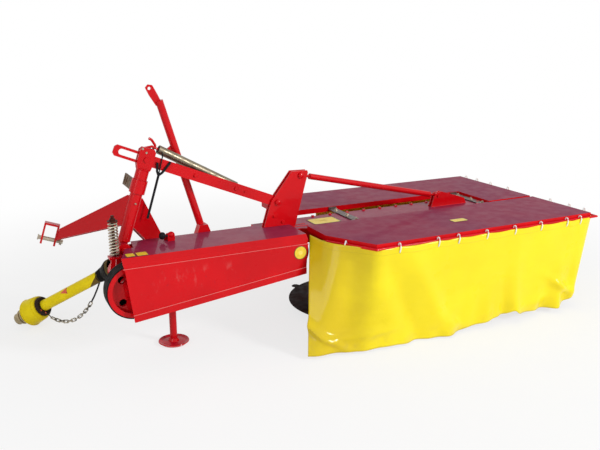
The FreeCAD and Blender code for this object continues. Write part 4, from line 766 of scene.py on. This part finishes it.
ARM_HEADINGS, ARM_SPAN = (126.5, 36.5), (0.115, 0.258)
HUB_BOLTS, HUB_FACE, WEB_BACK = 0.055, 0.029, 0.084
SOCKET_RADIUS, SOCKET_HEIGHT = 0.0245, 0.009
LINCH_PIN_AT = 0.059


def beside(y, places):
    """Places in the plane at y from (x, z)."""
    return [(x, y, z) for x, z in places]


def make_fasteners():
    """Hexagon heads and pin ends where the real machine has them, one mesh for each body."""
    across = sizes().bolt
    bolt, stud = hexagon_bolt(across), hexagon_bolt(across, 0.006)
    small, smallest = hexagon_bolt(across * 0.72), hexagon_bolt(across * 0.5)
    beam_low, beam_high = corners("gear_beam")
    lid = beam_high[2]
    near, far = beam_low[1] + LID_EDGE, beam_high[1] - LID_EDGE
    centre = joint_place("drum_right_spin")
    along = np.arange(beam_low[0] + LID_START, centre[0], LID_BOLT_PITCH)
    along = along[np.abs(along[:, None] - np.array(STRAP_X)).min(1) > STRAP_HALF]
    bend = np.linspace(-60, 60, 4) * math.pi / 180
    lid_bolts = [(x, y, lid) for x in along for y in (near, far)]
    lid_bolts += [(centre[0] + far * math.cos(a), far * math.sin(a), lid) for a in bend]
    strap_bolts = [(x, y, lid + PLATE) for x in STRAP_X for y in STRAP_Y]
    foot_pin = joint_place("column_rock")
    ends = [foot_pin + FOOT_PIN_HALF * np.array(way) for way in SIDES]
    bracket_low, bracket_high = corners("beam_bracket")
    pins = [(x, y, z) for x, z in BRACKET_PINS for y in (bracket_low[1], bracket_high[1])]
    make_piece("bolts_frame", repeated(stud, strap_bolts, UP), "frame", "zinc_plate")
    make_piece("bolts_frame_painted", merged([
        repeated(bolt, lid_bolts, UP),
        repeated(bolt, beside(bracket_low[1] + PLATE, BRACKET_BOLTS), LEFT_SIDE),
        repeated(washer(0.016), pins, SIDES * 2),
        repeated(washer(0.019), ends, SIDES),
    ]), "frame", "gloss_red")
    pin = joint_place("lift_swing")
    direction = unit(column_point(LIFT_BAR_HEAD) - pin)
    face = pin + (0.0, -PLATE, 0.0)
    make_piece("bolts_lift_bar", merged([
        repeated(bolt, [face + direction * reach for reach in LIFT_BAR_BOLTS], LEFT_SIDE),
        repeated(small, face + direction * LIFT_BAR_SMALL, LEFT_SIDE),
    ]), "lift_link", "gloss_red")
    cheek = corners("column_head")[0][1] + COLUMN_CHEEK
    head_bolts = beside(cheek, [column_point(s, u)[[0, 2]] for s, u in COLUMN_BOLTS])
    make_piece("bolts_column", repeated(smallest, head_bolts, LEFT_SIDE), "column", "zinc_plate")
    grease = turned(((0, 0), (0.0045, 0), (0.0045, 0.004), (0.003, 0.006), (0.0038, 0.009), (0.002, 0.012),
                     (0, 0.012)), 12)
    nipple = repeated(grease, column_point(NIPPLE_AT, v=-SLEEVE_RADIUS), LEFT_SIDE)
    make_piece("grease_nipple", nipple, "hitch", "zinc_plate")
    housing = joint_place("input_spin")
    angles = np.radians((45, 135, 225, 315))
    hub = [(housing[0] + HUB_BOLTS * math.cos(a), housing[2] + HUB_BOLTS * math.sin(a)) for a in angles]
    web = corners("big_pulley")[0][1] + HUB_FACE
    make_piece("bolts_big_pulley", repeated(small, beside(web, hub), LEFT_SIDE), "input", "gloss_red")


def washer(radius):
    """Domed pin end in a thick washer."""
    steps = ((0, 0), (1, 0), (1, 0.003), (0.72, 0.004), (0.68, 0.006), (0.3, 0.0085), (0, 0.0088))
    return turned([(radius * share, high) for share, high in steps], 24)


def make_weld_beads():
    """Rippled beads along the welded seams, one mesh for each body."""
    r = sizes().bead
    seams = []
    for node, inset in (("beam_bracket", PLATE), ("tie_lug", 0.008)):
        low, high = corners(node)
        for y in (low[1] + inset, high[1] - inset):
            seams.append([(low[0], y, low[2]), (high[0], y, low[2])])
    seams.append(circle(socket_mouth(), UP, SOCKET_RADIUS))
    make_piece("weld_beads_frame", merged([weld_bead(seam, r) for seam in seams]), "frame", "gloss_red")
    way = joint_way("hitch_swing")
    rings = [weld_bead(circle(column_point(HITCH_SEAM[0]), way, HITCH_SEAM[1]), r * 0.9)]
    for heading in ARM_HEADINGS:
        for edge in (-0.012, 0.012):
            rings.append(weld_bead([column_point(s, 0.029, edge, heading) for s in ARM_SPAN], r))
    make_piece("weld_beads_hitch", merged(rings), "hitch", "gloss_red")
    rings = [weld_bead(circle(column_point(s), way, radius), r) for s, radius in COLUMN_SEAMS]
    make_piece("weld_beads_column", merged(rings), "column", "gloss_red")


def socket_mouth():
    """Mouth of the stand's socket."""
    low, high = corners("stand")
    return np.array((*(low + high)[:2] / 2, top_of("belt_guard") + SOCKET_HEIGHT))


def make_linch_pins():
    """Spring ring and pin through each hitch pin's end: a ring (r cos t, r sin t) and a straight pin."""
    mounts = [mount for mount in frame["record"]["mounts"] if mount["name"].startswith("hitch_pin")]
    way = unit(next(mount["axis"] for mount in mounts if mount["name"] == "hitch_pin_left"))
    parts = []
    for mount in mounts:
        place = np.array(mount["pos_m"], float) + way * LINCH_PIN_AT
        parts.append(tube([place - UP * 0.020, place, place + UP * 0.020], 0.0035, 10))
        parts.append(hoop(place + UP * 0.004, way, 0.021, 0.0018, 30, 7))
    make_piece("linch_pins", merged(parts), "hitch", "zinc_plate")


# ---- drive
BELT_COUNT, BELT_INSET = 4, 0.0005
BELT_SECTION = ((0.0, -0.0082), (0.0, 0.0082), (-0.0035, 0.0084), (-0.0105, 0.0052), (-0.0105, -0.0052),
                (-0.0035, -0.0084))


def make_belts():
    """Four V-belts: the section (w, t) carried round two arcs and their tangents."""
    big, small = joint_place("input_spin"), joint_place("driven_spin")
    low, high = corners("v_belts")
    outer_big, outer_small = big[0] - low[0], high[0] - small[0]
    reach = small - big
    distance, slope = math.hypot(reach[0], reach[2]), math.atan2(reach[2], reach[0])
    lean = math.asin((outer_big - outer_small) / distance)
    up, down = slope + math.pi / 2 - lean, slope - math.pi / 2 + lean
    section = np.array(BELT_SECTION) - (BELT_INSET, 0.0)
    loops = []
    for place, outer, angle in ((big, outer_big, np.linspace(up, down + 2 * math.pi, 48)),
                                (small, outer_small, np.linspace(down, up, 32))):
        ray = np.stack((np.cos(angle), 0 * angle, np.sin(angle)), -1)
        loops.append(place * (1, 0, 1) + ray[:, None] * (outer + section[None, :, :1]))
    loop, parts = np.concatenate(loops), []
    pitch = (high[1] - low[1]) / BELT_COUNT
    for index in range(BELT_COUNT):
        points = loop.copy()
        points[..., 1] = low[1] + pitch * (index + 0.5) + section[:, 1]
        parts.append((points.reshape(-1, 3), grid_faces(len(loop), len(section), True, True)))
    piece = make_piece("belt_set", merged(parts), "frame", "black_rubber")
    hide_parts("v_belts")


BELL_RIBS = ((0.566, 0.0625, 0.0018), (0.580, 0.0668, 0.0018), (0.648, 0.0755, 0.0022))
BEARING_FACE, BEARING_RIBS = 0.5425, 14


def along_shaft(distance, radius=0.0, angle=0.0):
    """Point on the drive shaft's axis, or beside it at an angle from its top."""
    centre, way, side, top = shaft_axes()
    return centre + way * distance + radius * (math.sin(angle) * side + math.cos(angle) * top)


def ribbed_ring(ribs, pitch, start, steps, levels, taper, before, after):
    """Ring round the drive shaft: a profile of ribs that shrink by a taper, between its two ends."""
    index = np.arange(ribs)[:, None]
    along, swell = index * pitch + np.array(steps), np.array(levels) * (1 - taper * index)
    profile = np.concatenate((before, np.stack((swell.ravel(), start + along.ravel()), -1), after))
    return turned(profile, 40, joint_place("pto_spin"), joint_way("pto_spin"), True)


def make_shaft_details():
    """Rings round the shaft: ribs of the bell and the bearing disc, the yoke's collar and the boot's cuff."""
    way = joint_way("pto_spin")
    rings = [hoop(along_shaft(distance), way, radius, size, 56) for distance, radius, size in BELL_RIBS]
    make_piece("bell_ribs", merged(rings), "pto_guard", "guard_plastic")
    ribs = [tube([along_shaft(BEARING_FACE, radius, angle) for radius in (0.034, 0.047)], 0.0022, 6)
            for angle in around(BEARING_RIBS)]
    ribs += [hoop(along_shaft(BEARING_FACE + 0.0005), way, radius, 0.0018, 48) for radius in (0.035, 0.0475)]
    make_piece("bearing_ribs", merged(ribs), "pto_guard", "bearing_brown")
    collar = ribbed_ring(4, 0.018, 0.650, (0.0, 0.003, 0.011, 0.014), (0.039, 0.047, 0.047, 0.039), 0.03,
                         [(0.0334, 0.646), (0.039, 0.646)], [(0.0345, 0.721), (0.0334, 0.722)])
    make_piece("yoke_collar", collar, "pto_inner", "brass_plate")
    cuff = ribbed_ring(5, 0.009, 0.087, (0.0, 0.0022, 0.005, 0.0072), (0.036, 0.040, 0.040, 0.036), 0.045,
                       [(0.0315, 0.085), (0.036, 0.085)], [(0.029, 0.132), (0.028, 0.130)])
    make_piece("boot_cuff", cuff, "pto_guard", "boot_rubber")


RELIEF_TUBE = ((-0.440, 0.004, 0.805), (-0.846, 0.004, 1.030))


def make_dark_backs():
    """Painted shade: a dark plate behind the big pulley so its holes show dark, and a dark disc in the relief
    tube's open mouth, both turned.
    """
    back = joint_place("input_spin")
    back[1] = corners("big_pulley")[0][1] + WEB_BACK
    # Painted shade: a dark plate standing in for the shade behind the pulley's holes.
    plate = [(0.0610, 0.0), (0.118, 0.0), (0.120, 0.0012), (0.120, 0.0030), (0.118, 0.0042), (0.0610, 0.0042)]
    make_piece("pulley_shade_plate", turned(plate, 48, back, RIGHT_SIDE, True), "frame", "black_coat")
    foot, mouth = np.array(RELIEF_TUBE)
    # Painted shade: a dark disc standing in for the shaded inside of the tube's open end.
    shade_disc = turned(((0, 0.0002), (0.0175, 0.0002), (0.0180, 0.0008), (0.0175, 0.0012), (0, 0.0012)), 32, mouth,
                 mouth - foot)
    make_piece("relief_tube_shade_disc", shade_disc, "lift_link", "black_rubber")


# ---- lock and hook
def make_lock_pin():
    """Lug of the stand's lock beside its socket, a plate with a round top, and the dark pull knob."""
    place = socket_mouth() + (0.002, -0.040, 0.0)
    place[2] = top_of("belt_guard")
    t = np.linspace(0, math.pi, 17)
    arch = np.stack((0.018 * np.cos(t), 0.030 + 0.018 * np.sin(t)), -1)
    arch = np.concatenate(([(0.018, -0.001)], arch, [(-0.018, -0.001)]))
    boss = turned(((0, 0), (0.010, 0), (0.010, 0.003), (0.007, 0.005), (0, 0.005)), 20,
                  place + (0, -0.004, 0.030), LEFT_SIDE)
    make_piece("lock_lug", merged([upright_plate(arch, place, 0.008), boss]), "frame", "gloss_red")
    knob = turned(((0, 0), (0.005, 0), (0.005, 0.012), (0.013, 0.015), (0.018, 0.022), (0.019, 0.030),
                   (0.016, 0.038), (0.009, 0.043), (0, 0.044)),
                  28, place + (-0.018, 0.0, 0.028), (-1.0, 0.0, 0.12))
    make_piece("lock_knob", knob, "frame", "black_coat")


def upright_plate(outline, place, thickness):
    """P(k, n) = place + x_n X + y_n Z + w_k Y: a flat outline given a thickness, closed by fans."""
    flat = np.stack((outline[:, 0], 0 * outline[:, 0], outline[:, 1]), -1) + place
    middle, half = np.tile(flat.mean(0), (len(flat), 1)), np.array((0.0, thickness / 2, 0.0))
    rows = [middle + half, flat + half, flat - half, middle - half]
    return np.concatenate(rows), grid_faces(4, len(flat), close_columns=True)


def make_safety_hook():
    """Red bent pin that stands behind the column head, with its black ring: a tube along a smooth line."""
    y = corners("relief_hook")[1][1] + 0.006
    bend = beside(y, ((-0.887, 1.086), (-0.874, 1.079), (-0.864, 1.062), (-0.856, 1.048), (-0.860, 1.037)))
    line, _ = smooth_line([*bend, (-0.870, y - 0.003, 1.033)], 40, 0.012)
    make_piece("safety_hook", tube(line, 0.0066, 12), "lift_link", "gloss_red")
    ring = hoop((-0.8740, y, 1.0380), (0.3, 1.0, 0.2), 0.0075, 0.0024, 25, 8)
    make_piece("safety_ring", ring, "lift_link", "black_coat")


# ---- blank patches
VINYL = 0.0008
ON_TOP, ON_SIDE = ((1, 0, 0), (0, 1, 0)), ((1, 0, 0), (0, 0, 1))


def patch(name, centre, right, up, half_width, half_height, body="frame", finish="patch_yellow", power=12.0):
    """P(r, t) = centre + r (a c(t) right + b s(t) up), where c and s follow a superellipse."""
    t = around(96)
    c, s = (np.sign(wave) * np.abs(wave) ** (2 / power) for wave in (np.cos(t), np.sin(t)))
    r = np.array((0.0, 0.45, 0.9, 0.93, 1.0))
    right, up = unit(right), unit(up)
    edge = half_width * c[:, None] * right + half_height * s[:, None] * up
    points = np.asarray(centre, float) + np.cross(right, up) * VINYL + r[:, None, None] * edge
    uv = np.stack(np.broadcast_arrays(r[:, None], t[None] / 6.3), -1).reshape(-1, 2)
    shape = points.reshape(-1, 3), grid_faces(len(r), len(c), close_columns=True)
    thicken(make_piece(name, shape, body, finish, uv=uv), "vinyl", VINYL, -1.0)


def wrapped_triangle(name, distance, angle, radius, length, spread):
    """P(u, v) = shaft point at distance + v length and angle + u v spread: a triangle round the tube."""
    v, u = np.meshgrid(np.linspace(0.02, 1, 9), np.linspace(-1, 1, 13), indexing="ij")
    centre, way, side, top = shaft_axes()
    turn = math.radians(angle) + u * v * spread
    ring = np.sin(turn)[..., None] * side + np.cos(turn)[..., None] * top
    points = centre + (distance + v * length)[..., None] * way + radius * ring
    uv = np.stack((np.maximum(np.abs(u) * v, np.maximum(v, 1 - 1.2 * v)), v), -1).reshape(-1, 2)
    shape = points.reshape(-1, 3), grid_faces(*v.shape)
    thicken(make_piece(name, shape, "pto_guard", "patch_orange", uv=uv), "vinyl", VINYL)


def make_patches():
    """Blank patches where such a machine carries its plates."""
    face, guard_top = corners("belt_guard")[0][1] + 0.008, top_of("belt_guard")
    patch("patch_guard_round", (-0.205, face, 0.487), *ON_SIDE, 0.036, 0.036, power=2.0)
    patch("patch_guard_left", (-1.070, -0.232, guard_top), *ON_TOP, 0.021, 0.026)
    patch("patch_guard_right", (-1.015, -0.235, guard_top), *ON_TOP, 0.027, 0.028)
    patch("patch_gear_beam", (0.085, -0.012, top_of("gear_beam")), *ON_TOP, 0.088, 0.058)
    patch("patch_cover", (0.735, -0.40, top_of("cover_rear")), *ON_TOP, 0.050, 0.026, "rear_cover")
    wrapped_triangle("patch_tube", 0.385, 304, 0.0316, -0.046, 0.62)
    _, way, side, top = shaft_axes()
    for name, angle in (("mark_upper", 254), ("mark_lower", 209)):
        a = math.radians(angle)
        outwards = math.sin(a) * side + math.cos(a) * top
        patch(name, along_shaft(BEARING_FACE + 0.0003, 0.044, a), np.cross(outwards, -way), outwards,
              0.006, 0.005, "pto_guard", "patch_orange")


# ---- stage
LIGHTS = (
    ("key_light", (4.4, -6.7, 4.2), (0.1, -0.2, 0.4), 1.7, 445),
    ("fill_light", (-5.0, -3.6, 3.2), (-0.3, 0.0, 0.4), 3.5, 98),
    ("top_light", (0.0, 1.0, 5.5), (0.0, 0.0, 0.0), 5.0, 20),
)
CAMERA_PLACE, CAMERA_TURN = (-1.762, -3.459, 1.600), (74.697, 0.0, -26.2)
FOCAL_LENGTH, SENSOR_WIDTH, FAR_CLIP = 42.6, 36.0, 200.0
FLOOR_RINGS = (0.0, 3.0, 8.0, 60.0)


def make_stage():
    """Pale floor, soft lights, white surroundings and the camera."""
    scene = bpy.context.scene
    scene.view_settings.view_transform = "Standard"
    floor = new_object("floor", new_mesh("floor", turned([(radius, 0.0) for radius in FLOOR_RINGS], 48)))
    clean_up(floor.data)
    floor.data.materials.append(floor_finish())
    scene.world = white_world()
    for light in LIGHTS:
        soft_light(*light)
    lens = bpy.data.cameras.new("camera")
    lens.lens, lens.sensor_width, lens.clip_end = FOCAL_LENGTH, SENSOR_WIDTH, FAR_CLIP
    camera = new_object("camera", lens)
    camera.location, camera.rotation_euler = CAMERA_PLACE, np.radians(CAMERA_TURN)
    scene.camera = camera


def floor_finish():
    """Pale matt floor with a faint mottle that runs out into plain white far from the object."""
    f = Finish("floor_pale", specular=0.1)
    f.done(f.blend(f.noise(3), (0.90, 0.90, 0.90), (0.93, 0.93, 0.93)), 0.9)
    length = f.add("VectorMath", {0: f.place}, "Value", operation="LENGTH")
    far = f.times(f.band(length, 1.6, 4.0, 0.74, 1.0), f.seen())
    mix = f.add("MixShader", {0: far, 1: f.shader.outputs[0], 2: f.add("Emission", {})})
    f.feed(f.first("OUTPUT_MATERIAL"), {"Surface": mix})
    return f.owner


def white_world():
    """White where it is seen, mirrored or looked through, and a soft even light elsewhere."""
    world = Nodes(bpy.data.worlds.new("white_room"))
    seen = world.join("MAXIMUM", world.seen(), world.ray("Transmission"))
    level = world.band(seen, 0.0, 1.0, 0.38, 1.0)
    world.feed(world.first("BACKGROUND"), {"Color": (1.0, 1.0, 1.0), "Strength": level})
    return world.owner


def soft_light(name, place, target, size, power):
    """Square area light that looks at a point."""
    lamp = bpy.data.lights.new(name, "AREA")
    lamp.energy, lamp.size = power, size
    matrix = np.eye(4)
    matrix[:3, :3], matrix[:3, 3] = frames(np.subtract(place, target)[None])[0], place
    new_object(name, lamp).matrix_world = Matrix(matrix.tolist())


# ---- operators
class MOWER_OT_stage(bpy.types.Operator):
    """Set up the floor, the lights and the camera"""

    bl_idname = "mower.stage"
    bl_label = "Stage"

    def execute(self, context):
        make_stage()
        return {"FINISHED"}


class MOWER_OT_finishes(bpy.types.Operator):
    """Give every CAD piece its finish"""

    bl_idname = "mower.finishes"
    bl_label = "Finishes"

    def execute(self, context):
        make_finishes()
        return {"FINISHED"}


class MOWER_OT_curtains(bpy.types.Operator):
    """Hang both curtains from their rails"""

    bl_idname = "mower.curtains"
    bl_label = "Curtains"

    def execute(self, context):
        bodies = (("rear", "rear_cover"), ("front", "frame"))
        for make in (make_curtain, make_curtain_ties):
            for side, body in bodies:
                make(side, body)
        return {"FINISHED"}


class MOWER_OT_fasteners(bpy.types.Operator):
    """Add bolts, pins' ends, linch pins and the grease nipple"""

    bl_idname = "mower.fasteners"
    bl_label = "Fasteners"

    def execute(self, context):
        make_fasteners()
        make_linch_pins()
        return {"FINISHED"}


class MOWER_OT_welds(bpy.types.Operator):
    """Add the weld beads"""

    bl_idname = "mower.welds"
    bl_label = "Weld beads"

    def execute(self, context):
        make_weld_beads()
        return {"FINISHED"}


class MOWER_OT_drive(bpy.types.Operator):
    """Add the belts and the drive shaft's ribs"""

    bl_idname = "mower.drive"
    bl_label = "Belts and drive shaft"

    def execute(self, context):
        make_belts()
        make_shaft_details()
        make_dark_backs()
        return {"FINISHED"}


class MOWER_OT_locks(bpy.types.Operator):
    """Add the stand's lock and the hook behind the column head"""

    bl_idname = "mower.locks"
    bl_label = "Lock and hook"

    def execute(self, context):
        make_lock_pin()
        make_safety_hook()
        return {"FINISHED"}


class MOWER_OT_patches(bpy.types.Operator):
    """Add the blank patches"""

    bl_idname = "mower.patches"
    bl_label = "Blank patches"

    def execute(self, context):
        make_patches()
        return {"FINISHED"}


OPERATORS = (MOWER_OT_finishes, MOWER_OT_curtains, MOWER_OT_fasteners, MOWER_OT_welds, MOWER_OT_drive,
             MOWER_OT_locks, MOWER_OT_patches, MOWER_OT_stage)


class MOWER_PT_panel(bpy.types.Panel):
    """Lists the mower's colours, sizes and steps"""

    bl_idname = "MOWER_PT_panel"
    bl_label = "Drum mower"
    bl_space_type = "VIEW_3D"
    bl_region_type = "UI"
    bl_category = "Mower"

    def draw(self, context):
        column = self.layout.column()
        for group in (context.scene.mower_colours, context.scene.mower_sizes):
            for name in group.__annotations__:
                column.prop(group, name)
        for operator in OPERATORS:
            column.operator(operator.bl_idname)


CLASSES = (MowerColours, MowerSizes, *OPERATORS, MOWER_PT_panel)


def register():
    """Register the classes and the scene's settings."""
    for item in CLASSES:
        bpy.utils.register_class(item)
    bpy.types.Scene.mower_colours = bpy.props.PointerProperty(type=MowerColours)
    bpy.types.Scene.mower_sizes = bpy.props.PointerProperty(type=MowerSizes)


def unregister():
    """Undo register."""
    del bpy.types.Scene.mower_colours
    del bpy.types.Scene.mower_sizes
    for item in reversed(CLASSES):
        bpy.utils.unregister_class(item)


def main():
    """Dress the mower, one operator after another."""
    register()
    bpy.ops.mower.finishes()
    bpy.ops.mower.curtains()
    bpy.ops.mower.fasteners()
    bpy.ops.mower.welds()
    bpy.ops.mower.drive()
    bpy.ops.mower.locks()
    bpy.ops.mower.patches()
    bpy.ops.mower.stage()


if __name__ == "__main__":
    main()
